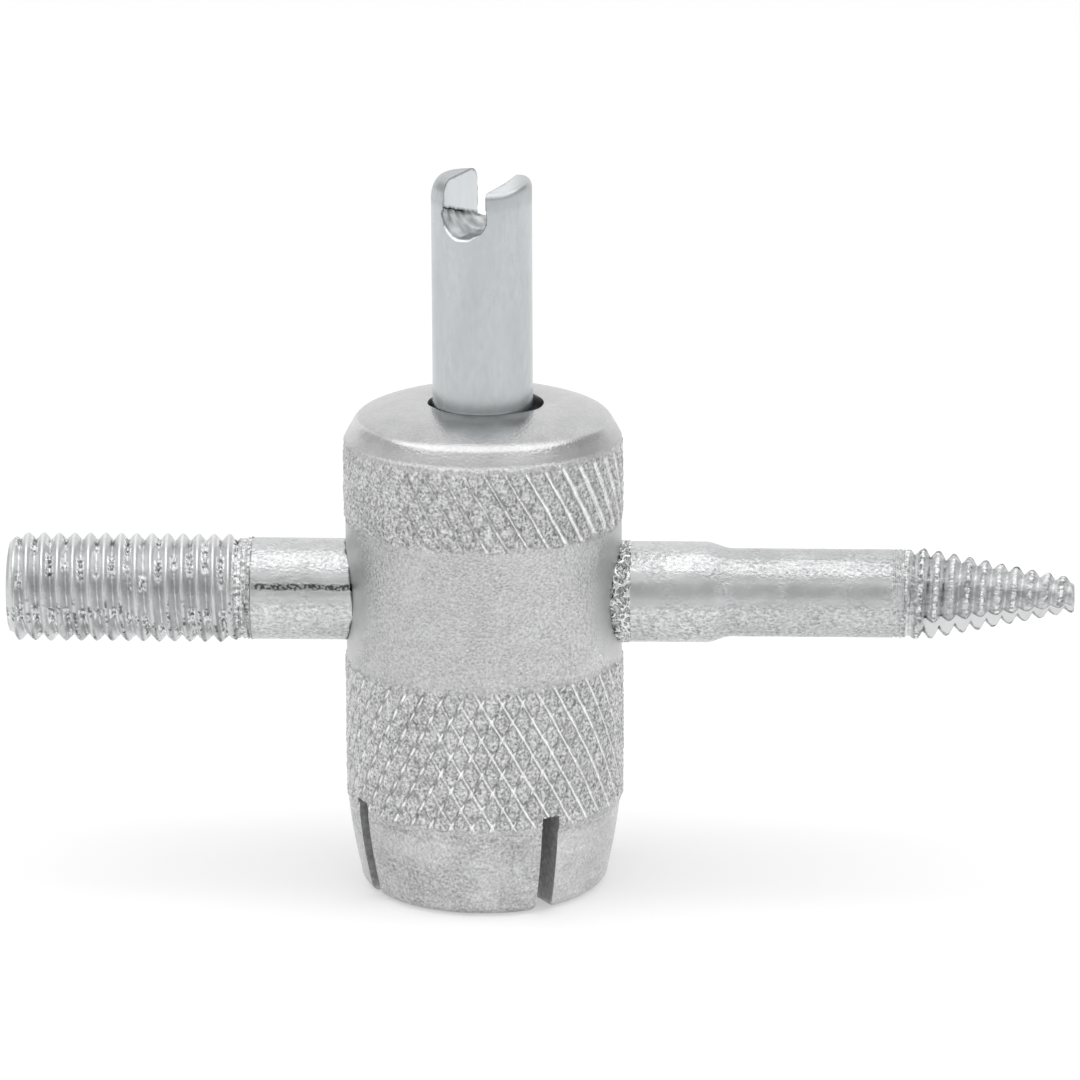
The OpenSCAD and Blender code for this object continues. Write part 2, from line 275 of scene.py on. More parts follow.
def steps(start, end, spacing):
    """Values from start to end, both included, no further apart than spacing."""
    count = max(1, math.ceil(abs(end - start) / spacing - 1e-6))
    return [mix(start, end, i / count) for i in range(count + 1)]


def stretches(start, *parts):
    """Values from start through several stretches, each given by its end and its spacing."""
    values = [start]
    for end, spacing in parts:
        values += steps(values[-1], end, spacing)[1:]
    return values


def around(count, height, radius):
    """Ring of points about the hub's axis; radius is a length or a rule of the turn from the front."""
    points = []
    for column in range(count):
        turn = math.tau * column / count
        reach = radius(turn) if callable(radius) else radius
        points.append(Vector((reach * math.sin(turn), -reach * math.cos(turn), height)))
    return points


def across(side, out, radius):
    """Ring of points about the side pins' axis at a distance out from the hub's axis; side is 1 or -1."""
    points = []
    for column in range(PIN_COLUMNS):
        turn = math.tau * column / PIN_COLUMNS
        reach = radius(turn) if callable(radius) else radius
        points.append(Vector((side * out, -reach * math.cos(turn), PIN_Z + reach * math.sin(turn))))
    return points


def on_pin(along, turn, radius):
    """Place on a side pin, measured from the pin's axis at the hub."""
    return Vector((along, -radius * math.cos(turn), radius * math.sin(turn)))


def bridge(bm, low, high, material):
    """Join two rings of vertices; one may be a single point, or have a whole number of times more points."""
    if len(low) < len(high):
        low, high = high, low
    ratio = len(low) // len(high)
    if len(high) == 1:
        faces = [(low[i], low[(i + 1) % len(low)], high[0]) for i in range(len(low))]
    else:
        faces = []
        for i in range(len(high)):
            reach = [low[(i * ratio + k) % len(low)] for k in range(ratio + 1)]
            faces.append((*reach, high[(i + 1) % len(high)], high[i]))
    for face in faces:
        bm.faces.new(face).material_index = material


def lathe(name, rings, materials=None):
    """Closed mesh object through rings of points; materials gives the slot of each band between them."""
    bm = bmesh.new()
    rows = [[bm.verts.new(point) for point in points] for points in rings]
    for index in range(len(rows) - 1):
        bridge(bm, rows[index], rows[index + 1], materials[index] if materials else 0)
    return finished(name, bm)


def finished(name, bm):
    """Smooth-shaded object of a bmesh, with its faces turned outward."""
    bmesh.ops.recalc_face_normals(bm, faces=bm.faces)
    mesh = bpy.data.meshes.new(name)
    bm.to_mesh(mesh)
    bm.free()
    mesh.shade_smooth()
    piece = bpy.data.objects.new(name, mesh)
    bpy.context.scene.collection.objects.link(piece)
    return piece


def prism(name, outline, depth, placed):
    """Closed prism of an outline in X and Z, as deep as depth along Y and moved by the matrix placed."""
    bm = bmesh.new()
    ends = [[bm.verts.new(placed @ Vector((x, y, z))) for x, z in outline] for y in (-depth / 2, depth / 2)]
    bridge(bm, ends[0], ends[1], 0)
    bm.faces.new(ends[0])
    bm.faces.new(ends[1])
    return finished(name, bm)


def applied(piece):
    """Make the piece's modifiers part of its mesh."""
    depsgraph = bpy.context.evaluated_depsgraph_get()
    before = piece.data
    piece.data = bpy.data.meshes.new_from_object(piece.evaluated_get(depsgraph))
    piece.data.name = piece.name
    piece.modifiers.clear()
    bpy.data.meshes.remove(before)


def carve(piece, cutters):
    """Take the cutters out of the piece; the new faces keep the cutters' material."""
    for cutter in cutters:
        cut = piece.modifiers.new("Cut", "BOOLEAN")
        cut.operation = "DIFFERENCE"
        cut.solver = "MANIFOLD"
        cut.material_mode = "TRANSFER"
        cut.object = cutter
    applied(piece)
    for cutter in cutters:
        bpy.data.meshes.remove(cutter.data)


def paint(piece, rule):
    """Store each vertex's frost, tone and mattness, worked out from its place."""
    values = [rule(vertex.co) for vertex in piece.data.vertices]
    for column, name in enumerate(Finish._fields):
        layer = piece.data.attributes.new(name, "FLOAT", "POINT")
        layer.data.foreach_set("value", [value[column] for value in values])


def crisp(piece, degrees):
    """Shade smooth, with sharp edges where faces meet at more than the given angle."""
    piece.data.shade_smooth()
    piece.data.set_sharp_from_angle(angle=math.radians(degrees))


def tooth(phase, peak, land):
    """Height of a V thread: 0 at its root and 1 on the land of its crest, which lies at the share peak."""
    place = phase - math.floor(phase)
    rise = place / peak if place < peak else (1.0 - place) / (1.0 - peak)
    return min(1.0, rise / (1.0 - land))


def rounded(rise, amount):
    """Height of a thread whose crest is rounded and whose root stays narrow."""
    return mix(rise, math.sin(rise * math.pi / 2.0), amount)


# Finishes

def node(tree, kind, place, **inputs):
    """New shader node with some of its sockets set; a spaced socket name is written with underscores."""
    made = tree.nodes.new(kind)
    made.location = place
    for name, value in inputs.items():
        made.inputs[name.replace("_", " ")].default_value = value
    return made


def ramp(tree, place, stops):
    """Colour ramp with the given grey stops."""
    made = tree.nodes.new("ShaderNodeValToRGB")
    made.location = place
    band = made.color_ramp
    while len(band.elements) < len(stops):
        band.elements.new(0.5)
    for element, (position, value) in zip(band.elements, stops):
        element.position = position
        element.color = (value, value, value, 1.0)
    return made


def sums(tree, place, operation, *values):
    """Result of a math node over sockets and numbers."""
    made = tree.nodes.new("ShaderNodeMath")
    made.operation = operation
    made.location = place
    for socket, value in zip(made.inputs, values):
        if isinstance(value, (int, float)):
            socket.default_value = value
        else:
            tree.links.new(value, socket)
    return made.outputs[0]


def stored(tree, name, place):
    """Socket of a value that is stored on the mesh."""
    made = node(tree, "ShaderNodeAttribute", place)
    made.attribute_name = name
    return made.outputs["Fac"]


def new_material(name):
    """New material, with its tree and its shader."""
    material = bpy.data.materials.new(name)
    material.use_nodes = True
    tree = material.node_tree
    return material, tree, tree.nodes["Principled BSDF"]


def tint_by(tree, shader, place, tint, shade):
    """Colour the shader with a tint that the socket shade lightens and darkens."""
    plate = tree.nodes.new("ShaderNodeVectorMath")
    plate.operation = "SCALE"
    plate.location = place
    plate.inputs[0].default_value = tint
    tree.links.new(shade, plate.inputs["Scale"])
    tree.links.new(plate.outputs["Vector"], shader.inputs["Base Color"])


def bump_by(tree, shader, place, height, strength, depth):
    """Roughen the shader with a relief from the socket height."""
    bump = node(tree, "ShaderNodeBump", place, Strength=strength, Distance=depth)
    tree.links.new(height, bump.inputs["Height"])
    tree.links.new(bump.outputs["Normal"], shader.inputs["Normal"])


def zinc_plate(name, tint, spot, relief, stretch=(1.0, 1.0, 1.0)):
    """Bright zinc plate, smooth where the frost value of the mesh is low and grained where it is high.

    The mesh's tone value, which holds painted light and shade as well as the plate's own tone, lightens or
    darkens it, and its matt value dulls it. Its grain has dark pits and bright specks that are painted
    glints. spot is the size of the grain, relief its depth, and stretch draws the grain out along the axes.
    """
    material, tree, shader = new_material(name)
    link = tree.links.new
    shader.inputs["Metallic"].default_value = 1.0
    coords = node(tree, "ShaderNodeTexCoord", (-1700, 0))
    drawn = node(tree, "ShaderNodeMapping", (-1500, 0), Scale=[1.0 / part for part in stretch])
    link(coords.outputs["Object"], drawn.inputs["Vector"])
    frost, tone, matt = (
        stored(tree, field, (-1400, -500 - 200 * row)) for row, field in enumerate(Finish._fields))
    fine = node(tree, "ShaderNodeTexNoise", (-1250, 200), Scale=1.0 / spot, Detail=3.0, Roughness=0.6)
    cloud = node(tree, "ShaderNodeTexNoise", (-1250, -60), Scale=0.11 / spot, Detail=3.0, Roughness=0.6)
    speck = node(tree, "ShaderNodeTexNoise", (-1250, -320), Scale=1.3 / spot, Detail=2.0, Roughness=0.5)
    for texture in (fine, cloud, speck):
        link(drawn.outputs["Vector"], texture.inputs["Vector"])
    spots = ramp(tree, (-1000, 200), [(0.34, 0.60), (0.50, 1.0), (0.66, 1.36)])
    clouds = ramp(tree, (-1000, -60), [(0.30, 0.92), (0.70, 1.06)])
    # Dark pits, and bright specks that are painted glints
    pits = ramp(tree, (-1000, -320), [(0.28, 0.45), (0.36, 1.0), (0.64, 1.0), (0.72, 1.6)])
    link(fine.outputs["Fac"], spots.inputs["Fac"])
    link(cloud.outputs["Fac"], clouds.inputs["Fac"])
    link(speck.outputs["Fac"], pits.inputs["Fac"])
    mottle = sums(tree, (-720, 200), "MULTIPLY", spots.outputs["Color"], pits.outputs["Color"])
    mottle = sums(tree, (-560, 200), "SUBTRACT", mottle, 1.0)
    mottle = sums(tree, (-400, 200), "MULTIPLY", mottle, frost)
    mottle = sums(tree, (-240, 200), "ADD", mottle, 1.0)
    mottle = sums(tree, (-160, 360), "MAXIMUM", mottle, 0.15)
    shade = sums(tree, (-80, 200), "MULTIPLY", mottle, clouds.outputs["Color"])
    shade = sums(tree, (80, 200), "MULTIPLY", shade, tone)
    tint_by(tree, shader, (240, 200), tint, shade)
    dull = node(tree, "ShaderNodeMapRange", (-720, -300), To_Min=0.2, To_Max=0.34)
    link(frost, dull.inputs["Value"])
    patch = sums(tree, (-720, -560), "MULTIPLY_ADD", cloud.outputs["Fac"], 0.12, -0.06)
    patch = sums(tree, (-480, -560), "ADD", patch, sums(tree, (-720, -760), "MULTIPLY", matt, 0.25))
    link(sums(tree, (-300, -400), "ADD", dull.outputs["Result"], patch), shader.inputs["Roughness"])
    height = sums(tree, (-720, 0), "MULTIPLY", fine.outputs["Fac"], frost)
    bump_by(tree, shader, (-240, -200), height, 1.0, relief)
    return material


def dull_steel(name, tint):
    """Unplated steel with tool marks, as it is left in a bore or a saw cut."""
    material, tree, shader = new_material(name)
    shader.inputs["Metallic"].default_value = 0.7
    shader.inputs["Roughness"].default_value = 0.6
    coords = node(tree, "ShaderNodeTexCoord", (-1000, 0))
    marks = node(tree, "ShaderNodeTexNoise", (-760, 0), Scale=4000.0, Detail=4.0, Roughness=0.6)
    tree.links.new(coords.outputs["Object"], marks.inputs["Vector"])
    tones = ramp(tree, (-520, 0), [(0.3, 0.7), (0.7, 1.3)])
    tree.links.new(marks.outputs["Fac"], tones.inputs["Fac"])
    tint_by(tree, shader, (-240, 0), tint, tones.outputs["Color"])
    bump_by(tree, shader, (-240, -240), marks.outputs["Fac"], 0.4, 0.03 * MM)
    return material


# Hub

Heights = namedtuple("Heights", "knurl_low waist knurl_high crown top")
# One hand of a band's grooves: its lean and shift, where the roller pressed hardest and how sharply that
# falls off, depth and width there, depth and width opposite, how worn it is on the left, and how broken
Grooves = namedtuple("Grooves", "lean shift pressed fall depth width shallow narrow worn broken seed")
Band = namedtuple("Band", "start end grooves")


def hub_heights(hub):
    """Heights at which the hub's sections begin."""
    knurl_low = hub.die_height
    waist = knurl_low + hub.lower_knurl
    knurl_high = waist + hub.waist_height
    return Heights(knurl_low, waist, knurl_high, knurl_high + hub.upper_knurl, HUB_TOP)


def bands(hub):
    """The two knurled bands, each rolled with falling and rising grooves."""
    heights = hub_heights(hub)
    lower = (
        Grooves(lean=1.0, shift=-0.39, pressed=math.radians(45.0), fall=2.0, depth=1.15, width=1.4,
                shallow=0.6, narrow=0.8, worn=0.95, broken=0.0, seed=5.0),
        Grooves(lean=-1.0, shift=0.0, pressed=math.radians(-45.0), fall=2.0, depth=1.15, width=1.3,
                shallow=0.45, narrow=0.9, worn=0.0, broken=0.7, seed=11.0))
    upper = (
        Grooves(lean=1.0, shift=-0.05, pressed=math.radians(66.0), fall=10.0, depth=1.3, width=2.5,
                shallow=0.95, narrow=0.85, worn=0.95, broken=0.0, seed=21.0),
        Grooves(lean=-1.0, shift=0.0, pressed=math.radians(40.0), fall=2.0, depth=0.45, width=1.3,
                shallow=0.25, narrow=1.0, worn=0.5, broken=0.85, seed=27.0))
    return Band(heights.knurl_low, heights.waist, lower), Band(heights.knurl_high, heights.crown, upper)


def band_share(band, point):
    """How far a place lies within a knurled band, with ragged ends."""
    ragged = 0.2 * MM * grain(point, 0.35 * MM, 3.0)
    inside = min(point.z - band.start, band.end - point.z)
    return smooth(0.0, 0.18 * MM, inside - 0.1 * MM + ragged)


def groove_share(hub, band, turn, point):
    """How deep a place lies in a knurl groove, from 0 on a diamond to about 1 at a groove's bottom."""
    spacing = math.pi * hub.knurl_diameter / hub.groove_lines
    along = turn / math.tau * hub.groove_lines
    climb = point.z * math.tan(hub.groove_angle) / spacing
    from_worn = abs(math.remainder(turn - WORN_TURN, math.tau))
    left = smooth(math.radians(50.0), math.radians(30.0), from_worn)
    behind = 0.5 * smooth(0.1, 0.6, -math.cos(turn))
    shifts = sum(groove.shift for groove in band.grooves)
    deepest = 0.0
    for groove in band.grooves:
        place = along + groove.lean * climb + groove.shift + 0.04 * grain(point, 1.1 * MM, groove.seed)
        away = abs(place - round(place)) * spacing * math.cos(hub.groove_angle)
        press = max((0.5 + 0.5 * math.cos(turn - groove.pressed)) ** groove.fall, behind)
        worn = 0.9 + 0.3 * grain(point, 1.9 * MM, groove.seed + 1.0)
        crossed = along - groove.lean * climb + shifts - groove.shift
        stroke = smooth(0.38, 0.2, abs(crossed - round(crossed)))
        depth = mix(groove.shallow, groove.depth, press) * worn
        depth *= (1.0 - groove.worn * left) * (1.0 - groove.broken * (1.0 - stroke))
        half = hub.groove_width / 2.0 * mix(groove.narrow, groove.width, press)
        half *= 1.0 + 0.3 * grain(point, 0.3 * MM, groove.seed + 2.0)
        deepest = max(deepest, depth * smooth(half, 0.25 * half, away))
    return deepest


def knurl_radius(hub, band, turn, height):
    """Radius of a knurled band: raised flat diamonds with rough tops, between rounded grooves."""
    plain = hub.waist_diameter / 2.0
    point = Vector((plain * math.sin(turn), -plain * math.cos(turn), height))
    present = band_share(band, point)
    groove = groove_share(hub, band, turn, point)
    rough = 0.05 * MM * grain(point, 0.14 * MM, 8.0) + 0.03 * MM * grain(point, 0.4 * MM, 9.0)
    raised = hub.knurl_diameter / 2.0 - plain - 0.04 * MM + rough * max(0.0, 1.0 - groove)
    return plain + present * (raised - hub.groove_depth * groove)


def in_right_finger(hub, turn):
    """Share of the finger between the front saw cut and the right one."""
    past = (turn - hub.saw_turn) % math.tau
    return 1.0 if past < math.pi / 2.0 else 0.0


def die_radius(hub, height, turn):
    """Radius of the tapered, slightly bulged die wall."""
    rim = hub.rim_diameter / 2.0
    rise = (height - hub.rim_round) / (hub.die_height - hub.rim_round)
    reach = mix(rim, hub.waist_diameter / 2.0, rise) + 4.0 * hub.die_bulge * rise * (1.0 - rise)
    below_knurl = smooth(hub.die_height + 0.1 * MM, hub.die_height - 0.25 * MM, height)
    return reach - hub.finger_inset * in_right_finger(hub, turn) * below_knurl


def bore_rings(hub):
    """Rings from the drill point down the threaded bore to the inner edge of the rim."""
    inner = hub.bore_diameter / 2.0
    deep = THREAD_DEPTH * hub.bore_pitch
    point_height = hub.bore_depth + inner * math.tan(DRILL_SLOPE)
    rings = [[Vector((0.0, 0.0, point_height))], around(PLAIN_COLUMNS, hub.bore_depth, inner)]

    def thread(height):
        shown = smooth(hub.bore_thread, hub.bore_thread - hub.bore_pitch, height)
        return lambda turn: inner + deep * shown * tooth(height / hub.bore_pitch - turn / math.tau, 0.5, 0.12)

    for height in steps(hub.bore_thread, hub.bore_lead, hub.bore_pitch / 12.0):
        rings.append(around(PLAIN_COLUMNS, height, thread(height)))
    rings.append(around(PLAIN_COLUMNS, 0.0, inner + hub.bore_lead))
    return rings


def die_rings(hub):
    """Rings across the rim, round its edge and up the tapered wall."""
    flat_edge = hub.rim_diameter / 2.0 - hub.rim_round
    rings = [around(PLAIN_COLUMNS, 0.0, flat_edge)]
    for part in steps(0.0, 1.0, 0.1)[1:]:
        bend = part * math.pi / 2.0
        height = hub.rim_round * (1.0 - math.cos(bend))
        reach = flat_edge + hub.rim_round * math.sin(bend)
        rings.append(around(PLAIN_COLUMNS, height, lambda turn, reach=reach: (
            reach - hub.finger_inset * in_right_finger(hub, turn))))
    for height in steps(hub.rim_round, hub.die_height, 0.07 * MM)[1:]:
        rings.append(around(PLAIN_COLUMNS, height, lambda turn, height=height: die_radius(hub, height, turn)))
    return rings


def knurl_rings(hub, band):
    """Rings of one knurled band; a groove runs along the grid's diagonals."""
    row = math.pi * hub.knurl_diameter / KNURL_COLUMNS / math.tan(hub.groove_angle)
    return [
        around(KNURL_COLUMNS, height, lambda turn, height=height: knurl_radius(hub, band, turn, height))
        for height in steps(band.start, band.end, row)[1:-1]]


def curve(start, knee, end, spacing):
    """Points of a curve from start to end, which sets out to and comes in from the knee."""
    return [
        start * (1.0 - t) ** 2 + knee * 2.0 * t * (1.0 - t) + end * t * t
        for t in steps(0.0, 1.0, spacing)]


def crown_profile(hub, heights):
    """Radius and height over the crown: up its corner from the knurl, over the crease and up the dome."""
    side = Vector((hub.waist_diameter / 2.0, heights.crown))
    crease = Vector((hub.crease_diameter / 2.0, heights.top - hub.crease_drop))
    rise = Vector((-math.sin(hub.corner_turn), math.cos(hub.corner_turn)))
    arrive = Vector((-math.sin(hub.crease_turn), math.cos(hub.crease_turn)))
    span = crease - side
    reach = (span.x * arrive.y - span.y * arrive.x) / (rise.x * arrive.y - rise.y * arrive.x)
    flat = Vector((hub.crown_flat / 2.0, heights.top))
    brow = Vector(((flat.x + crease.x) / 2.0, heights.top))
    corner = [place for place in curve(side, side + rise * reach, crease, 0.06)
              if (place - crease).length > hub.crease_round]
    dome = [place for place in curve(crease, brow, flat, 0.06) if (place - crease).length > hub.crease_round]
    return [*corner[:-1], *curve(corner[-1], crease, dome[0], 0.1), *dome[1:]]


def mouth_ring(hub, height, widened):
    """Ring of the recess around the remover, which opens at the right and back and closes up at the front."""
    shank = bpy.context.scene.valve_remover.diameter / 2.0
    points = []
    for column in range(PLAIN_COLUMNS):
        turn = math.remainder(math.tau * column / PLAIN_COLUMNS, math.tau)
        right = smooth(math.radians(28.0), math.radians(72.0), turn)
        left = smooth(math.radians(60.0), math.radians(85.0), -turn)
        opened = max(right, left)
        close = shank + hub.mouth_gap + 0.02 * MM * grain(Vector((turn, 0.0, 0.0)), 0.12, 17.0)
        reach = mix(close, hub.mouth_diameter / 2.0, opened) + widened
        across_hub = reach * math.sin(turn) + hub.mouth_shift * opened
        points.append(Vector((across_hub, -reach * math.cos(turn), height)))
    return points


def crown_rings(hub):
    """Rings over the crown's corner and dome, across its flat and down the recess around the remover."""
    heights = hub_heights(hub)
    rings = [around(PLAIN_COLUMNS, place.y, place.x) for place in crown_profile(hub, heights)]
    lip = 0.06 * MM
    for fall, widened in ((0.0, lip), (0.3 * lip, 0.3 * lip), (lip, 0.0), (hub.mouth_depth, 0.0)):
        rings.append(mouth_ring(hub, heights.top - fall, widened))
    rings.append([Vector((0.0, 0.0, heights.top - hub.mouth_depth))])
    return rings


def saw_cutters(hub, steel):
    """Two bars that saw the die end into four fingers."""
    half = hub.saw_width / 2.0
    flare = [
        (half + hub.saw_round * (1.0 - math.sin(bend)), hub.saw_round * (1.0 - math.cos(bend)))
        for bend in steps(0.0, math.pi / 2.0, math.pi / 16.0)]
    side = [(half + hub.saw_round, -HIDDEN_DEPTH), *flare, (half, hub.saw_depth)]
    outline = [*side, *((-x, z) for x, z in reversed(side))]
    cutters = []
    for number in range(2):
        placed = Matrix.Rotation(hub.saw_turn + number * math.pi / 2.0, 4, "Z")
        cutters.append(prism("saw_cut", outline, 2.0 * hub.knurl_diameter, placed))
        cutters[-1].data.materials.append(steel)
    return cutters


def pin_hole(side, diameter, reach, steel):
    """Bar that bores the hole of a side pin."""
    radius = diameter / 2.0
    rings = [across(side, HIDDEN_DEPTH / 2.0, radius), across(side, reach, radius)]
    centres = [[Vector((side * HIDDEN_DEPTH / 2.0, 0.0, PIN_Z))], [Vector((side * reach, 0.0, PIN_Z))]]
    cutter = lathe("pin_hole", [centres[0], *rings, centres[1]])
    cutter.data.materials.append(steel)
    return cutter


def crown_finish_and_painted_light(hub, point, turn):
    """Finish of the crown: smooth, with painted light that makes its corner lighter at its left and right."""
    above_knurl = point.z - hub_heights(hub).crown
    past_crease = math.hypot(point.x, point.y) - hub.crease_diameter / 2.0
    corner = smooth(-0.1 * MM, 0.0, past_crease)
    frost = 0.12 + 0.4 * smooth(0.2 * MM, 0.0, above_knurl)
    # Painted light: the corner is lighter at its left and a little at its right
    lighter = 0.2 * smooth(0.15, 0.75, -math.sin(turn)) + 0.05 * smooth(0.3, 0.9, math.sin(turn))
    matt = 0.5 * smooth(0.1 * MM, 0.4 * MM, past_crease)
    return Finish(frost, mix(0.95, 0.96 + lighter, corner), matt)


def finger_finish(hub, point, turn, drift):
    """Finish of the die's fingers: worn and scratched, and smoother on the right one."""
    edge = smooth(-0.4 * MM, 0.0, point.z - hub.die_height)
    smoother = in_right_finger(hub, turn)
    scratch = grain(Vector((point.x / 7.0, point.y / 7.0, point.z)), 0.13 * MM, 33.0)
    scratch *= smooth(0.0, 0.4, grain(point, 1.6 * MM, 34.0))
    worn = smooth(-0.3, 0.4, grain(point, 1.4 * MM, 35.0))
    frost = mix(mix(0.55 + 0.3 * worn, 0.42, smoother), 1.1, edge)
    tone = mix(0.99 - 0.06 * worn, 1.09, smoother) + mix(0.3, 0.2, smoother) * scratch
    return Finish(frost, tone + 0.05 * drift)


def knurl_finish_and_painted_light(hub, band, point, turn, drift):
    """Finish of a knurled band: grained diamonds, and smooth grooves with painted shade along their edges and
    a painted highlight in their cores, where they are also burnished smooth.
    """
    groove = min(1.0, groove_share(hub, band, turn, point))
    painted_edge_shade = smooth(0.02, 0.2, groove) * smooth(0.6, 0.4, groove)
    right = smooth(0.3, 0.8, math.sin(turn))
    frost = (1.25 + 0.25 * drift + 0.2 * right) * (1.0 - 0.85 * groove)
    if band.start < PIN_Z:
        plain = 1.155 + 0.01 * right
        bright = 0.42
    else:
        plain = 1.125
        bright = mix(0.5, 0.4, right)
    bright *= 0.85 + 0.7 * grain(point, 0.5 * MM, 36.0)
    # Painted shade along each groove's edges, and a painted highlight in its core
    tone = plain - 0.42 * painted_edge_shade + bright * smooth(0.45, 0.75, groove)
    present = band_share(band, point)
    return Finish(mix(0.6, frost, present), mix(0.97, tone, present))


def hub_finish_and_painted_light(hub, point):
    """Finish of the hub's plate, section by section; the waist is dull and smooth beside the side pins, and
    its tone holds painted light, lighter at its right than at its left and evened out beside the pins.
    """
    turn = math.atan2(point.x, -point.y)
    drift = grain(point, 2.2 * MM, 31.0)
    if point.z > hub_heights(hub).crown:
        return crown_finish_and_painted_light(hub, point, turn)
    if point.z < hub.die_height:
        return finger_finish(hub, point, turn, drift)
    for band in bands(hub):
        if band.start <= point.z <= band.end:
            return knurl_finish_and_painted_light(hub, band, point, turn, drift)
    beside = smooth(4.2 * MM, 3.2 * MM, math.hypot(point.y, point.z - PIN_Z - 0.4 * MM))
    frost = mix(0.5 + 0.2 * drift, 0.05, beside)
    # Painted light: the waist is lighter at its right and darker at its left, and beside the side pins an
    # even tone is painted over the shade near the joints
    return Finish(frost, mix(0.985 + 0.03 * drift + 0.1 * math.sin(turn), 0.97, beside), 0.9 * beside)


def build_hub(hub):
    """The knurled hub with its split die, recess and pin holes."""
    zinc = zinc_plate("hub_zinc", hub.zinc, 0.13 * MM, 0.125 * MM)
    steel = dull_steel("bore_steel", hub.steel)
    low, high = bands(hub)
    bore = bore_rings(hub)
    heights = hub_heights(hub)
    rings = [*bore, *die_rings(hub), *knurl_rings(hub, low)]
    for height in steps(heights.waist, heights.knurl_high, 0.25 * MM):
        rings.append(around(PLAIN_COLUMNS, height, hub.waist_diameter / 2.0))
    rings += [*knurl_rings(hub, high), *crown_rings(hub)]
    materials = [1 if index < len(bore) - 1 else 0 for index in range(len(rings) - 1)]
    piece = lathe("knurled_hub", rings, materials)
    piece.data.materials.append(zinc)
    piece.data.materials.append(steel)
    scene = bpy.context.scene
    carve(piece, [
        *saw_cutters(hub, steel),
        pin_hole(-1, scene.valve_tap.diameter + 2.0 * hub.joint_gap, hub.knurl_diameter, steel),
        pin_hole(1, scene.valve_extractor.collar + 2.0 * hub.joint_gap, hub.knurl_diameter, steel)])
    crisp(piece, 38.0)
    paint(piece, lambda point: hub_finish_and_painted_light(hub, point))
    return piece


# Core remover

def tip_shoulder(remover):
    """Height at which the rounding of the tip begins."""
    return REMOVER_TOP - remover.tip_height


def hole_height(remover):
    """Height of the axis of the cross hole at the slot's bottom."""
    return REMOVER_TOP - remover.slot_depth + remover.slot_width / 2.0


def slot_floor(remover, depth):
    """Height of the sawn slot's floor at a distance behind the hub's axis."""
    front = remover.diameter / 2.0
    fall = math.tan(remover.slot_fall) * (depth + front)
    return hole_height(remover) + remover.slot_rise - fall + 0.05 * MM * grain(
        Vector((0.0, depth, 0.0)), 0.35 * MM, 60.0)


def slot_outline(remover, depth):
    """Outline of the slot at a distance behind the hub's axis: sawn walls over a round, torn bottom."""
    hole = remover.slot_width / 2.0
    half = hole - remover.slot_inset
    low = slot_floor(remover, depth)
    centre = hole_height(remover)
    rows = [mix(REMOVER_TOP + 0.2 * MM, low + 0.3 * MM, part) for part in steps(0.0, 1.0, 0.05)]
    rows = [REMOVER_TOP + HIDDEN_DEPTH, *rows, *(low + rise * MM for rise in (0.14, 0.07, 0.0))]
    wall = [(half, height) for height in rows]
    dip = math.asin(max(-0.9, min(0.9, (low - 0.05 * MM - centre) / hole)))
    bottom = []
    for number, bend in enumerate(steps(dip, -math.pi - dip, (math.pi + 2.0 * dip) / 14.0)):
        reach = hole + 0.03 * MM * math.sin(5.0 * number) + 0.04 * MM * grain(
            Vector((number * MM, depth, 0.0)), 0.5 * MM, 61.0)
        bottom.append((reach * math.cos(bend), centre + reach * math.sin(bend)))
    return [*wall, *bottom, *((-x, z) for x, z in reversed(wall))]


def broken_edge(remover, depth, x, z):
    """Place on the slot's outline, moved outward where the slot comes through the shank's wall."""
    radius = remover.diameter / 2.0
    lip = math.sqrt(max(0.0, radius * radius - x * x))
    width = remover.edge_break * (1.0 + 0.9 * grain(Vector((x, 0.0, z)), 0.3 * MM, 64.0))
    moved = min(2.0 * width, max(0.0, width - lip + abs(depth)))
    away = Vector((x, min(0.0, z - hole_height(remover)))).normalized()
    return x + moved * away.x, z + moved * away.y


def slot_cutter(remover):
    """Bar that cuts the cross slot down from the tip."""
    placed = Matrix.Rotation(-remover.slot_turn, 4, "Z")
    bm = bmesh.new()
    rows = []
    end = 0.6 * remover.diameter
    inner = 0.4 * remover.diameter
    for depth in stretches(-end, (-inner, 0.04 * MM), (inner, 0.09 * MM), (end, 0.04 * MM)):
        outline = [broken_edge(remover, depth, x, z) for x, z in slot_outline(remover, depth)]
        rows.append([bm.verts.new(placed @ Vector((x, depth, z))) for x, z in outline])
    for near, far in zip(rows, rows[1:]):
        bridge(bm, near, far, 0)
    bm.faces.new(rows[0])
    bm.faces.new(rows[-1])
    return finished("cross_slot", bm)


def from_slot(remover, point):
    """Place as seen from the slot: x is across it and y is along it to the back."""
    return Matrix.Rotation(remover.slot_turn, 3, "Z") @ point


def right_prong(remover, point):
    """Share of the prong right of the slot, which stands lower than the left one."""
    return smooth(-0.3 * MM, 0.3 * MM, from_slot(remover, point).x)


def rounding_kept(remover, point):
    """Share of the tip's rounding at a place."""
    return mix(1.0, remover.prong_round, right_prong(remover, point))


def tip_top(remover, point):
    """Height of the tip's top inside its rounding."""
    radius = remover.diameter / 2.0
    lean = remover.tip_lean * min(0.0, point.x) / radius
    drop = remover.prong_drop - remover.prong_rise * smooth(0.4 * radius, radius, point.x)
    return REMOVER_TOP + remover.tip_stand - lean - drop * right_prong(remover, point)


def tip_surface(remover, point):
    """Height of the rounded tip over a place."""
    kept = rounding_kept(remover, point)
    inward = (remover.diameter / 2.0 - math.hypot(point.x, point.y)) / (remover.tip_width * kept)
    fall = 1.0 - math.sqrt(1.0 - min(1.0, max(0.0, 1.0 - inward)) ** 2)
    top = tip_top(remover, point)
    return top - (top - REMOVER_TOP + remover.tip_height) * kept * fall


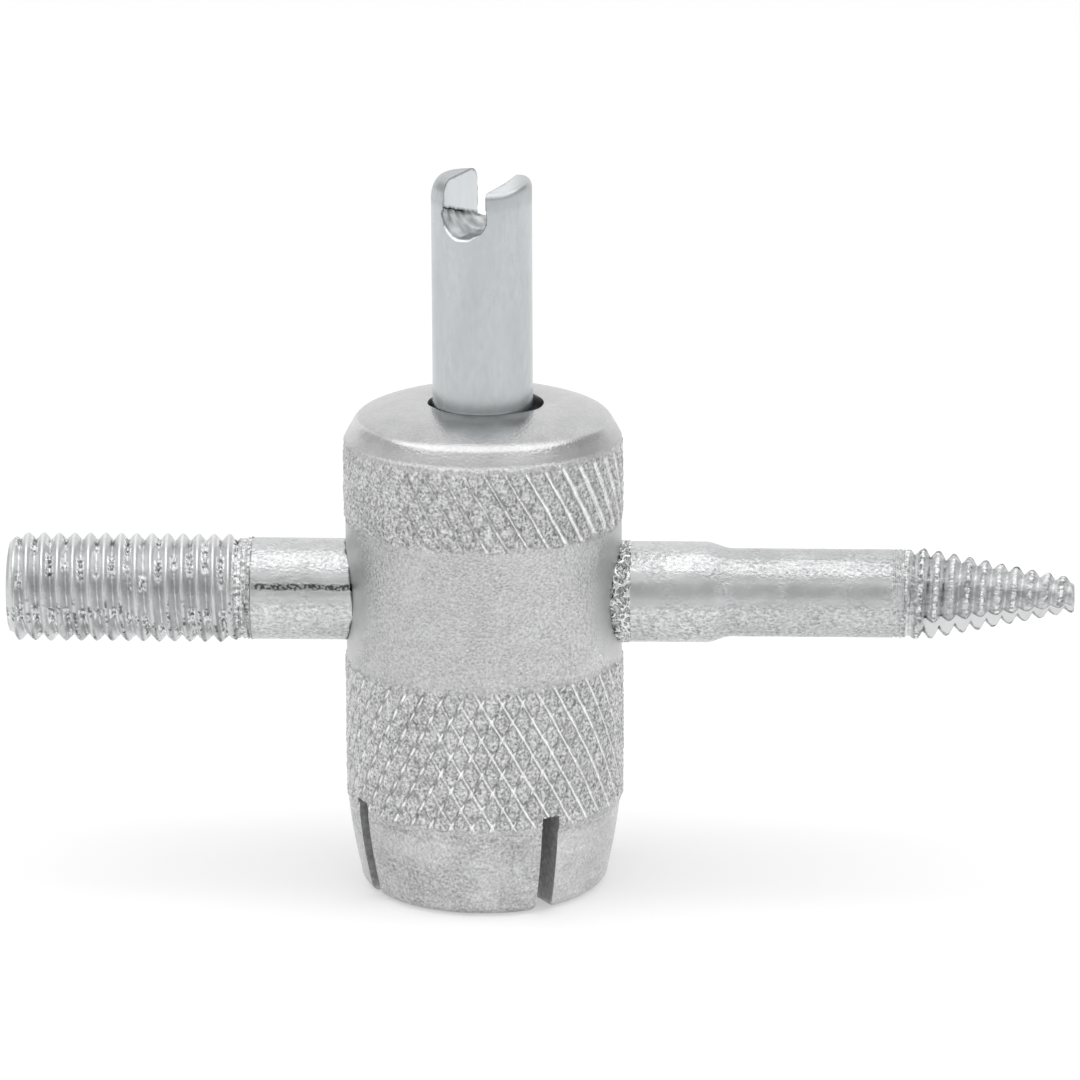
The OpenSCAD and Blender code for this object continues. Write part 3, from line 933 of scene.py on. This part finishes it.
def tip_rings(remover):
    """Rings over the tip, round its edge and across its top to the middle."""
    radius = remover.diameter / 2.0
    rings = []
    for bend in steps(0.0, math.pi / 2.0, math.pi / 32.0):
        ring = []
        for point in around(PIN_COLUMNS, 0.0, radius):
            inward = remover.tip_width * rounding_kept(remover, point) * (1.0 - math.cos(bend))
            ring.append(point * (1.0 - inward / radius))
        rings.append(ring)
    rings += [[part * point for point in rings[-1]] for part in steps(0.9, 0.1, 0.1)]
    return [[Vector((point.x, point.y, tip_surface(remover, point))) for point in ring] for ring in rings]


def prong_finish_and_painted_light(remover, point):
    """Finish of the rounded tops of the two prongs, with painted light on the band of the left prong's
    rounding and a painted highlight on the right prong's top.
    """
    radius = remover.diameter / 2.0
    tip = point.z - tip_shoulder(remover)
    painted_flank_light = smooth(0.05 * MM, 0.2 * MM, tip) * smooth(0.62 * MM, 0.5 * MM, tip)
    right = right_prong(remover, point)
    dull = 0.1 * (1.0 - right)
    # Painted light on the band of the left prong's rounding, and a painted highlight on the right prong's top
    tone = 1.0 + 0.22 * painted_flank_light * (1.0 - right) - dull
    painted_leaf_highlight = smooth(0.1 * MM, 0.02 * MM, tip_top(remover, point) - point.z)
    tone += 0.4 * right * painted_leaf_highlight * smooth(0.85 * radius, 0.5 * radius, point.x)
    return Finish(0.05 + dull, tone, mix(1.0, 0.45, smooth(0.5 * MM, 0.7 * MM, tip)))


def remover_finish_and_painted_light(remover, point):
    """Finish of the remover: smooth, with painted light on its slot's walls, a painted highlight on the
    hole's rims, painted shade along the walls' broken edges and lips, and a dark torn edge between wall and
    hole that is painted shade under that ledge.
    """
    radius = remover.diameter / 2.0
    reach = math.hypot(point.x, point.y)
    drift = grain(point, 1.2 * MM, 2.0)
    if reach > radius - ON_SHANK or point.z < hole_height(remover) - remover.slot_width:
        near_tip = smooth(-0.3 * MM, 0.1 * MM, point.z - tip_shoulder(remover))
        return Finish(0.08 + 0.06 * drift, 1.0, mix(0.2, 1.0, near_tip))
    turned = from_slot(remover, point)
    over = point.z - slot_floor(remover, turned.y)
    wall = smooth(0.0, 0.1 * MM, over)
    if wall > 0.5 and abs(turned.x) > remover.slot_width / 2.0 - remover.slot_inset + ON_FACE:
        return prong_finish_and_painted_light(remover, point)
    # Painted shade under the ledge where the wall steps out into the hole
    torn = smooth(0.13 * MM, 0.06 * MM, abs(over + 0.02 * MM)) * (0.8 + 0.5 * grain(point, 0.2 * MM, 62.0))
    rim = smooth(-0.16 * MM, -0.06 * MM, reach - radius)
    burnt = 0.85 + 0.6 * grain(point, 0.45 * MM, 63.0)
    chipped = 0.05 * MM * grain(point, 0.25 * MM, 65.0)
    outline = smooth(0.1 * MM, 0.03 * MM, tip_surface(remover, point) - point.z + chipped)
    outline = max(outline, rim * (0.9 if turned.y > 0.0 else 0.45))
    # Painted light lifts the slot's walls, a painted highlight lights the hole's rims, and painted shade
    # draws a dark line along the walls' broken edges and lips
    tone = mix(mix(burnt, 1.2, rim), 1.2 - 0.8 * outline, wall)
    return Finish(mix(0.3, 0.03, wall), tone - 0.75 * torn * (1.0 - rim))


def build_remover(remover):
    """Round bit with a rounded tip and a U-bottomed cross slot."""
    radius = remover.diameter / 2.0
    foot = HUB_TOP - bpy.context.scene.valve_hub.mouth_depth
    rings = [[Vector((0.0, 0.0, foot))]]
    for height in steps(foot, tip_shoulder(remover) - 0.02 * MM, 0.2 * MM):
        rings.append(around(PIN_COLUMNS, height, radius))
    rings += tip_rings(remover)
    rings.append([Vector((0.0, 0.0, REMOVER_TOP + remover.tip_stand))])
    piece = lathe("core_remover_bit", rings)
    zinc = zinc_plate("remover_zinc", remover.zinc, 0.2 * MM, 0.05 * MM, (1.0, 1.0, 3.0))
    piece.data.materials.append(zinc)
    cutter = slot_cutter(remover)
    cutter.data.materials.append(zinc)
    carve(piece, [cutter])
    crisp(piece, 21.0)
    paint(piece, lambda point: remover_finish_and_painted_light(remover, point))
    return piece


# Both side pins

def hub_wall():
    """Distance from the hub's axis to its waist, where the side pins come out."""
    return bpy.context.scene.valve_hub.waist_diameter / 2.0


def pin_turn(point):
    """Turn of a place about the side pins' axis, upward from the front."""
    return math.atan2(point.z - PIN_Z, -point.y)


def ladder(point, size, seed):
    """Noise drawn out along the side pins' axis, as a torn thread shows."""
    return grain(Vector((point.x / 3.0, point.y, point.z)), size, seed)


def scored_rings(out, depth):
    """Height of the fine rings scored where a thread begins."""
    return depth * math.sin(out / SCORE_PITCH * math.tau)


def pin_plate(name, tint):
    """Plate of a side pin, with its grain drawn out along it."""
    return zinc_plate(name, tint, 0.14 * MM, 0.1 * MM, (1.35, 1.0, 1.0))


def joint_line(point):
    """Share of the dark line where a side pin comes out of the hub."""
    wall = math.sqrt(max(0.0, hub_wall() ** 2 - point.y * point.y))
    width = 0.07 * MM + 0.13 * MM * grain(point, 0.4 * MM, 45.0)
    return smooth(width, 0.4 * width, abs(point.x) - wall) if width > 0.0 else 0.0


def pin_strip(turn):
    """Share of the smooth, dull strip along the front and back of a side pin."""
    return smooth(0.91, 0.98, abs(math.cos(turn - STRIP_TURN)))


def pin_frost(turn):
    """Frost around a side pin: grained, more so underneath, and smooth on its strips and top."""
    above = smooth(-0.3, 0.3, math.sin(turn))
    top = smooth(0.88, 0.95, math.sin(turn))
    return 0.1 + mix(0.62, 0.55, above) * (1.0 - pin_strip(turn)) * (1.0 - 0.7 * top)


def painted_underside_light(turn):
    """Share of the lower half of a side pin, where painted light makes it lighter."""
    return smooth(0.1, -0.2, math.sin(turn))


def painted_pin_highlight(turn):
    """Share of the painted highlight along the upper shoulder of a side pin."""
    return smooth(0.5, 0.65, math.sin(turn)) * smooth(0.95, 0.85, math.sin(turn))


def end_rings(side, out, radius):
    """Rings over the flat end of a side pin, from its edge to its middle."""
    rings = [
        across(side, out, lambda turn, part=part: part * radius(turn)) for part in steps(1.0, 0.0, 0.05)[:-1]]
    return [*rings, [Vector((side * out, 0.0, PIN_Z))]]


def end_finish(point):
    """Finish of the end of a side pin, faced with a cutter that left fine rings."""
    reach = math.hypot(point.y, point.z - PIN_Z)
    return Finish(0.3, 0.98 + 0.18 * grain(Vector((reach, 0.0, 0.0)), 0.16 * MM, 48.0), 0.5)


# Tap

def tap_start(tap):
    """Distance from the hub's axis at which the tap's thread begins."""
    return hub_wall() + tap.shank


def tap_run_out(tap, out):
    """Share of the scored rings where the tap's thread runs out into its shank."""
    return smooth(tap_start(tap) + 1.3 * tap.pitch, tap_start(tap) + 0.9 * tap.pitch, out)


def tap_tooth(tap, out, turn):
    """Height of the tap's thread at a place, as a share."""
    return tooth(-out / tap.pitch + turn / math.tau + tap.phase, 0.5, 0.04)


def tap_torn(tap, out, turn):
    """How torn the thread is at a place: some stretches of its roots on top, more towards its start."""
    point = on_pin(out, turn, tap.diameter / 2.0)
    patch = grain(point, 1.1 * MM, 41.0) + 0.5 * smooth(tap_start(tap) + 5.0 * tap.pitch, tap_start(tap), out)
    patch -= 0.6 * smooth(math.radians(15.0), math.radians(5.0), abs(math.remainder(turn, math.pi)))
    return smooth(0.6, 0.3, tap_tooth(tap, out, turn)) * smooth(-0.1, 0.15, patch)


def tap_radius(tap, out, turn):
    """Radius of the tap at a distance out and a turn about its axis."""
    plain = tap.diameter / 2.0
    start = tap_start(tap)
    point = on_pin(out, turn, plain)
    if out < start:
        return plain + 0.006 * MM * grain(point, 0.9 * MM, 4.0)
    rise = rounded(tap_tooth(tap, out, turn), 0.45)
    root = mix(plain, tap.root / 2.0, smooth(start, start + 1.4 * tap.pitch, out))
    full = tap.crest / 2.0 - 0.03 * MM + 0.03 * MM * grain(point, 0.8 * MM, 6.0)
    shown = smooth(start + 0.4 * tap.pitch, start + 1.5 * tap.pitch, out)
    shown *= smooth(TAP_END, TAP_END - 0.6 * tap.pitch, out)
    torn = 0.06 * MM * ladder(point, 0.11 * MM, 7.0) * tap_torn(tap, out, turn)
    rings = scored_rings(out, 0.035 * MM) + 0.03 * MM * grain(point, 0.16 * MM, 8.0)
    return root + (full - root) * shown * rise + torn + rings * tap_run_out(tap, out)


def tap_finish_and_painted_light(tap, point):
    """Finish of the tap: torn roots, specked crests, and a grained shank with a dark seam; painted highlights
    run along its roots, its crests on top and its shank's upper shoulder, painted light lifts the sides of
    its teeth and its shank's lower half, and painted shade darkens its thread low down.
    """
    out = -point.x
    turn = pin_turn(point)
    start = tap_start(tap)
    drift = grain(point, 0.7 * MM, 42.0)
    if out < start:
        wander = math.radians(1.5) * grain(point, 0.3 * MM, 47.0)
        seam = smooth(math.radians(5.5), math.radians(2.0), abs(turn - STRIP_TURN + wander))
        seam *= 0.35 + 0.65 * smooth(-0.25, 0.1, grain(point, 0.11 * MM, 43.0))
        seam *= smooth(start, start - 0.3 * MM, out)
        # Painted highlight along the upper shoulder, and painted light on the lower half
        tone = 1.04 + 0.06 * painted_pin_highlight(turn) + 0.05 * painted_underside_light(turn) - 0.9 * seam - 0.85 * joint_line(point)
        return Finish(pin_frost(turn) + 0.25 * drift + 0.4 * seam, tone, 0.35 * pin_strip(turn))
    if out > TAP_END - ON_FACE:
        return end_finish(point)
    rise = tap_tooth(tap, out, turn)
    torn = tap_torn(tap, out, turn)
    rungs = smooth(-0.2, 0.2, ladder(point, 0.12 * MM, 44.0)) - 0.2
    unrolled = Vector((out, turn * tap.crest / 2.0, 0.0))
    specks = smooth(0.0, 0.2, grain(unrolled, 0.13 * MM, 46.0)) * smooth(0.75, 0.9, rise)
    specks *= smooth(math.radians(8.0), math.radians(-6.0), turn) * smooth(-0.15, 0.1, drift)
    painted_flank_light = smooth(0.15, 0.35, rise) * smooth(0.85, 0.65, rise)
    root = smooth(0.12, 0.04, rise) * (1.0 - torn)
    crest = smooth(0.75, 0.95, rise) * smooth(0.2, 0.5, math.sin(turn))
    streak = smooth(0.0, 0.3, grain(Vector((point.x, 0.0, 0.0)), 0.13 * MM, 49.0))
    under = smooth(math.radians(-30.0), math.radians(-42.0), turn) * streak
    gash = smooth(0.35, 0.15, rise) * smooth(0.955, 0.985, math.sin(turn)) * smooth(0.05, 0.25, drift)
    # Painted highlights along the roots and the crests on top, painted light on the sides of the teeth, and
    # painted shade low down
    tone = 1.04 + 0.4 * root + 0.06 * painted_flank_light + 0.35 * crest + 1.2 * torn * rungs
    tone -= 0.75 * specks + 0.35 * under + 0.7 * gash
    frost = 0.15 + 0.9 * max(torn, tap_run_out(tap, out)) + 0.4 * specks
    return Finish(frost, tone, 0.4 * (1.0 - torn))


def build_tap(tap):
    """Plain shank and right-hand thread, out to the left."""
    start = tap_start(tap)
    chamfer = 0.06 * MM
    outs = stretches(
        HIDDEN_DEPTH, (start - tap.shank - 0.7 * MM, 0.5 * MM), (start - tap.shank + 0.3 * MM, 0.04 * MM),
        (start, 0.05 * MM), (TAP_END - chamfer, tap.pitch / 20.0))
    rings = [[Vector((-HIDDEN_DEPTH, 0.0, PIN_Z))]]
    for out in outs:
        rings.append(across(-1, out, lambda turn, out=out: tap_radius(tap, out, turn)))
    rings += end_rings(-1, TAP_END, lambda turn: tap_radius(tap, TAP_END, turn) - chamfer)
    piece = lathe("tap", rings)
    crisp(piece, 50.0)
    piece.data.materials.append(pin_plate("tap_zinc", tap.zinc))
    paint(piece, lambda point: tap_finish_and_painted_light(tap, point))
    return piece


# Extractor

ExtractorPlaces = namedtuple("ExtractorPlaces", "seat collar neck thread")


def extractor_places(extractor):
    """Distances from the hub's axis at which the extractor's sections end."""
    seat = hub_wall() + extractor.seat
    collar = seat + extractor.collar_length
    neck = collar + extractor.blend
    return ExtractorPlaces(seat, collar, neck, neck + extractor.neck_length)


def scored_share(extractor, places, out):
    """Share of the scored rings before the extractor's thread."""
    return smooth(places.thread - extractor.run_in, places.thread - 0.8 * extractor.run_in, out)


def thread_done(places, out):
    """Share of the extractor's thread that lies before a distance out."""
    return (out - places.thread) / (EXTRACTOR_END - places.thread)


def in_flute(extractor, turn):
    """Turn of a place from its flute's upper edge downward; negative where there is no flute."""
    place = math.remainder(turn, math.pi)
    return -extractor.flute_turn - place if place > -math.pi / 2.0 else -1.0


def flute_radius(extractor, done, turn):
    """Distance from the axis to the face of a flute, or a distance outside the pin away from the flutes."""
    if in_flute(extractor, turn) < 0.0:
        return extractor.collar
    cone = min(mix(extractor.crest, extractor.crest_tip, done), extractor.crest_most) / 2.0
    facing = max(0.05, math.cos(math.remainder(turn, math.pi) + extractor.flute_face))
    return mix(1.1, extractor.flute_share, smooth(0.03, 0.14, done)) * cone / facing


def extractor_tooth(extractor, out, turn):
    """Height of the extractor's thread at a place, as a share; its crests lean to the tip."""
    return tooth(out / extractor.pitch - turn / math.tau + extractor.phase, 0.58, 0.06)


def seat_pattern(point):
    """Height of the crushed press knurl: winding ridges around 1 between pits around 0."""
    winding = min(abs(grain(point, 0.34 * MM, 13.0)), abs(grain(point, 0.28 * MM, 14.0)))
    return smooth(0.22, 0.03, winding)


def extractor_radius(extractor, places, out, turn):
    """Radius of the extractor at a distance out and a turn about its axis."""
    plain = extractor.collar / 2.0
    point = on_pin(out, turn, plain)
    if out < places.thread:
        reach = mix(plain, extractor.neck / 2.0, smooth(places.collar, places.neck, out))
        reach += 0.008 * MM * grain(point, 0.8 * MM, 12.0)
        seat_end = places.seat + 0.06 * MM * grain(point, 0.4 * MM, 15.0)
        pressed = smooth(seat_end + 0.05 * MM, seat_end - 0.05 * MM, out)
        knurl = 0.1 * MM * seat_pattern(point) - 0.06 * MM
        rings = scored_rings(out, 0.02 * MM) + 0.03 * MM * grain(point, 0.15 * MM, 17.0) - 0.02 * MM
        return reach + pressed * knurl + scored_share(extractor, places, out) * rings
    done = thread_done(places, out)
    cone = mix(extractor.crest, extractor.crest_tip, done) / 2.0
    crest = min(cone, extractor.crest_most / 2.0) + 0.02 * MM * grain(point, 0.5 * MM, 16.0)
    run_in = smooth(places.thread - 0.2 * extractor.pitch, places.thread + 0.6 * extractor.pitch, out)
    root = mix(extractor.neck / 2.0, mix(extractor.root, extractor.root_tip, done) / 2.0, run_in)
    rise = rounded(extractor_tooth(extractor, out, turn), 0.7)
    torn = 0.05 * MM * ladder(point, 0.12 * MM, 18.0) * smooth(0.5, 0.9, rise)
    rough_start = 0.06 * MM * grain(point, 0.17 * MM, 19.0) * smooth(0.3, 0.05, done)
    reach = root + (crest - root) * run_in * rise + torn + rough_start
    return min(reach, flute_radius(extractor, done, turn))


def extractor_finish_and_painted_light(extractor, places, point):
    """Finish of the extractor: grained shank, torn crests, smooth roots and clean flutes, with painted light
    and shade on the seat's knurl, a painted highlight on the shank's upper shoulder and along the roots,
    painted light on the shank's lower half, and painted shade along the flutes' upper edges.
    """
    out = point.x
    turn = pin_turn(point)
    drift = grain(point, 0.8 * MM, 51.0)
    if out < places.seat + 0.04 * MM:
        ridge = seat_pattern(on_pin(out, turn, extractor.collar / 2.0))
        outline = smooth(0.1, 0.3, ridge) * smooth(0.6, 0.4, ridge)
        # Painted light and shade on the crushed knurl: lighter ridges, darker pits and a dark line on the
        # slopes between them
        return Finish(0.35, 0.78 + 0.6 * ridge - 0.45 * outline - 0.15 * joint_line(point))
    if out < places.thread:
        scored = scored_share(extractor, places, out)
        worn = smooth(places.collar, places.neck, out)
        strip = pin_strip(turn)
        tone = mix(1.06, 0.95, worn) + mix(-0.06, 0.03, worn) * strip
        # Painted highlight along the upper shoulder, and painted light on the lower half
        tone += 0.03 * painted_pin_highlight(turn) + mix(0.05, 0.01, worn) * painted_underside_light(turn)
        return Finish(1.15 * pin_frost(turn) + 0.4 * drift + 0.3 * scored, tone, 0.5 * strip)
    if out > EXTRACTOR_END - ON_FACE:
        return end_finish(point)
    done = thread_done(places, out)
    rise = extractor_tooth(extractor, out, turn)
    reach = math.hypot(point.y, point.z - PIN_Z)
    if reach > flute_radius(extractor, done, turn) - ON_FLUTE:
        return Finish(0.05, 1.12, 0.3)
    edge = smooth(math.radians(-6.0), math.radians(-1.0), in_flute(extractor, turn))
    edge *= smooth(0.08, 0.14, done)
    early = smooth(0.32, 0.26, done)
    gash = smooth(0.2, 0.05, rise) * early * smooth(0.03, 0.07, done)
    turn_seed = 52.0 + round(out / extractor.pitch)
    gash *= smooth(-0.35, 0.0, grain(on_pin(0.0, turn, 2.0 * MM), 0.6 * MM, turn_seed))
    torn = smooth(0.45, 0.9, rise) * max(smooth(-0.3, 0.3, drift), smooth(0.3, 0.1, done))
    bright = 0.25 * smooth(0.2, 0.05, rise) * (1.0 - early)
    rungs = smooth(-0.2, 0.2, ladder(point, 0.12 * MM, 54.0)) - 0.45
    lines = early * grain(Vector((out, 0.0, 0.0)), 0.07 * MM, 55.0)
    # Painted highlight along the roots, and painted shade along the flutes' upper edges
    tone = 1.09 + bright - 0.45 * gash - 0.5 * edge + 0.8 * torn * rungs + 0.4 * lines
    return Finish(0.22 + 0.9 * torn, tone, 0.35 * (1.0 - torn))


def build_extractor(extractor):
    """Pressed seat, collar, neck and tapered left-hand thread, out to the right."""
    places = extractor_places(extractor)
    chamfer = 0.1 * MM
    outs = stretches(
        HIDDEN_DEPTH, (places.seat - 1.0 * MM, 0.5 * MM), (places.seat + 0.2 * MM, 0.03 * MM),
        (places.thread - extractor.run_in, 0.12 * MM), (places.thread, 0.03 * MM),
        (EXTRACTOR_END - chamfer, extractor.pitch / 20.0))
    rings = [[Vector((HIDDEN_DEPTH, 0.0, PIN_Z))]]
    for out in outs:
        rings.append(across(1, out, lambda turn, out=out: extractor_radius(extractor, places, out, turn)))
    rings += end_rings(1, EXTRACTOR_END, lambda turn: (
        extractor_radius(extractor, places, EXTRACTOR_END - chamfer, turn) - chamfer))
    piece = lathe("extractor", rings)
    crisp(piece, 50.0)
    piece.data.materials.append(pin_plate("extractor_zinc", extractor.zinc))
    paint(piece, lambda point: extractor_finish_and_painted_light(extractor, places, point))
    return piece


# Stage

def plane(name, width, depth, placed):
    """Flat card of the given size, moved by the matrix placed."""
    bm = bmesh.new()
    corners = ((-1, -1), (1, -1), (1, 1), (-1, 1))
    bm.faces.new([bm.verts.new(placed @ Vector((x * width / 2.0, y * depth / 2.0, 0.0))) for x, y in corners])
    mesh = bpy.data.meshes.new(name)
    bm.to_mesh(mesh)
    bm.free()
    card = bpy.data.objects.new(name, mesh)
    bpy.context.scene.collection.objects.link(card)
    return card


def seen_directly(tree):
    """Socket that is 1 for rays from the camera, off metal or through glass."""
    path = node(tree, "ShaderNodeLightPath", (-800, 300))
    seen = sums(tree, (-560, 300), "MAXIMUM", path.outputs["Is Camera Ray"], path.outputs["Is Glossy Ray"])
    return sums(tree, (-380, 300), "MAXIMUM", seen, path.outputs["Is Transmission Ray"])


def floor_paint(stage):
    """Pale matt floor that reads as white and keeps the tool's shadow."""
    material, tree, shader = new_material("pale_floor")
    shader.inputs["Base Color"].default_value = (*stage.floor, 1.0)
    shader.inputs["Roughness"].default_value = 0.9
    shader.inputs["Specular IOR Level"].default_value = 0.0
    shader.inputs["Emission Color"].default_value = (1.0, 1.0, 1.0, 1.0)
    glow = sums(tree, (-200, 300), "MULTIPLY", seen_directly(tree), stage.floor_glow)
    tree.links.new(glow, shader.inputs["Emission Strength"])
    return material


def light_card(name, width, depth, placed, strength):
    """Card with an even glow, which lights the tool and shows in its metal but not in the picture."""
    card = plane(name, width, depth, placed)
    card.visible_camera = False
    material, _, shader = new_material(name)
    shader.inputs["Base Color"].default_value = (0.0, 0.0, 0.0, 1.0)
    shader.inputs["Specular IOR Level"].default_value = 0.0
    shader.inputs["Emission Color"].default_value = (1.0, 1.0, 1.0, 1.0)
    shader.inputs["Emission Strength"].default_value = strength
    card.data.materials.append(material)


def hang_cards(stage):
    """Softbox overhead, and grey walls behind the camera and at both sides, the right one dimmer."""
    front = -stage.softbox_height / math.tan(stage.softbox_front)
    back = stage.softbox_height / math.tan(stage.softbox_back)
    over = Matrix.Translation((0.0, (front + back) / 2.0, PIN_Z + stage.softbox_height))
    light_card("softbox", stage.softbox_width, back - front, over, stage.softbox)
    for side, strength in ((1.0, 0.8), (-1.0, 1.0)):
        aside = Matrix.Translation((side * stage.wall_distance, 0.0, 0.75 * stage.wall_height))
        aside = aside @ Matrix.Rotation(-side * math.pi / 2.0, 4, "Y")
        light_card("side_wall", stage.wall_height, 2.0 * stage.wall_distance, aside, strength * stage.wall)
    upright = Matrix.Translation((0.0, -stage.wall_distance, stage.wall_height / 2.0))
    upright = upright @ Matrix.Rotation(math.pi / 2.0, 4, "X")
    light_card("grey_wall", 2.0 * stage.wall_distance, stage.wall_height, upright, stage.wall)


def lit_room(stage):
    """White room: full white where it is seen, a plain even light elsewhere."""
    world = bpy.data.worlds.new("white_room")
    world.use_nodes = True
    tree = world.node_tree
    back = tree.nodes["Background"]
    back.inputs["Color"].default_value = (1.0, 1.0, 1.0, 1.0)
    level = stage.room_light
    strength = sums(tree, (-180, 300), "MULTIPLY_ADD", seen_directly(tree), 1.0 - level, level)
    tree.links.new(strength, back.inputs["Strength"])
    bpy.context.scene.world = world


def place_camera(stage):
    """Camera at the photographed angle."""
    away = Vector((
        math.sin(stage.azimuth) * math.cos(stage.elevation),
        -math.cos(stage.azimuth) * math.cos(stage.elevation),
        math.sin(stage.elevation)))
    data = bpy.data.cameras.new("studio_camera")
    data.lens = stage.lens
    data.sensor_width = 36.0
    data.clip_start = 0.01
    data.clip_end = 10.0
    camera = bpy.data.objects.new("studio_camera", data)
    camera.location = Vector(stage.target) + away * stage.distance
    aim = (-away).to_track_quat("-Z", "Y").to_matrix() @ Matrix.Rotation(stage.roll, 3, "Z")
    camera.rotation_euler = aim.to_euler()
    bpy.context.scene.collection.objects.link(camera)
    bpy.context.scene.camera = camera


# Operators

def settle(piece, replaced):
    """Tie a finished piece to the solid that it stands for."""
    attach(piece, "root")
    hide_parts(replaced)


class VALVETOOL_OT_hub(bpy.types.Operator):
    """Build the knurled hub"""

    bl_idname = "valve_tool.hub"
    bl_label = "Knurled hub"

    def execute(self, context):
        settle(build_hub(context.scene.valve_hub), "body")
        return {"FINISHED"}


class VALVETOOL_OT_remover(bpy.types.Operator):
    """Build the core remover"""

    bl_idname = "valve_tool.remover"
    bl_label = "Core remover"

    def execute(self, context):
        settle(build_remover(context.scene.valve_remover), "core_remover")
        return {"FINISHED"}


class VALVETOOL_OT_tap(bpy.types.Operator):
    """Build the tap"""

    bl_idname = "valve_tool.tap"
    bl_label = "Tap"

    def execute(self, context):
        settle(build_tap(context.scene.valve_tap), "tap_pin")
        return {"FINISHED"}


class VALVETOOL_OT_extractor(bpy.types.Operator):
    """Build the extractor"""

    bl_idname = "valve_tool.extractor"
    bl_label = "Extractor"

    def execute(self, context):
        settle(build_extractor(context.scene.valve_extractor), "extractor_pin")
        return {"FINISHED"}


class VALVETOOL_OT_stage(bpy.types.Operator):
    """Set up the floor, the light and the camera"""

    bl_idname = "valve_tool.stage"
    bl_label = "Stage"

    def execute(self, context):
        stage = context.scene.valve_stage
        context.scene.view_settings.view_transform = "Standard"
        floor = plane("floor", FLOOR_SIZE, FLOOR_SIZE, Matrix.Translation((0.0, 0.0, -FLOOR_DROP)))
        floor.data.materials.append(floor_paint(stage))
        lit_room(stage)
        hang_cards(stage)
        place_camera(stage)
        return {"FINISHED"}


class VALVETOOL_PT_panel(bpy.types.Panel):
    """Valve tool's pieces"""

    bl_idname = "VALVETOOL_PT_panel"
    bl_label = "Valve tool"
    bl_space_type = "VIEW_3D"
    bl_region_type = "UI"
    bl_category = "Valve tool"

    def draw(self, context):
        for maker in OPERATORS:
            self.layout.operator(maker.bl_idname)


SETTINGS = {
    "valve_hub": HubSettings,
    "valve_remover": RemoverSettings,
    "valve_tap": TapSettings,
    "valve_extractor": ExtractorSettings,
    "valve_stage": StageSettings,
}
OPERATORS = (
    VALVETOOL_OT_hub,
    VALVETOOL_OT_remover,
    VALVETOOL_OT_tap,
    VALVETOOL_OT_extractor,
    VALVETOOL_OT_stage,
)


def register():
    for name, group in SETTINGS.items():
        bpy.utils.register_class(group)
        setattr(bpy.types.Scene, name, PointerProperty(type=group))
    for maker in (*OPERATORS, VALVETOOL_PT_panel):
        bpy.utils.register_class(maker)


def unregister():
    for maker in reversed((*OPERATORS, VALVETOOL_PT_panel)):
        bpy.utils.unregister_class(maker)
    for name, group in SETTINGS.items():
        delattr(bpy.types.Scene, name)
        bpy.utils.unregister_class(group)


def main():
    """Build every piece."""
    register()
    bpy.ops.valve_tool.hub()
    bpy.ops.valve_tool.remover()
    bpy.ops.valve_tool.tap()
    bpy.ops.valve_tool.extractor()
    bpy.ops.valve_tool.stage()


if __name__ == "__main__":
    main()
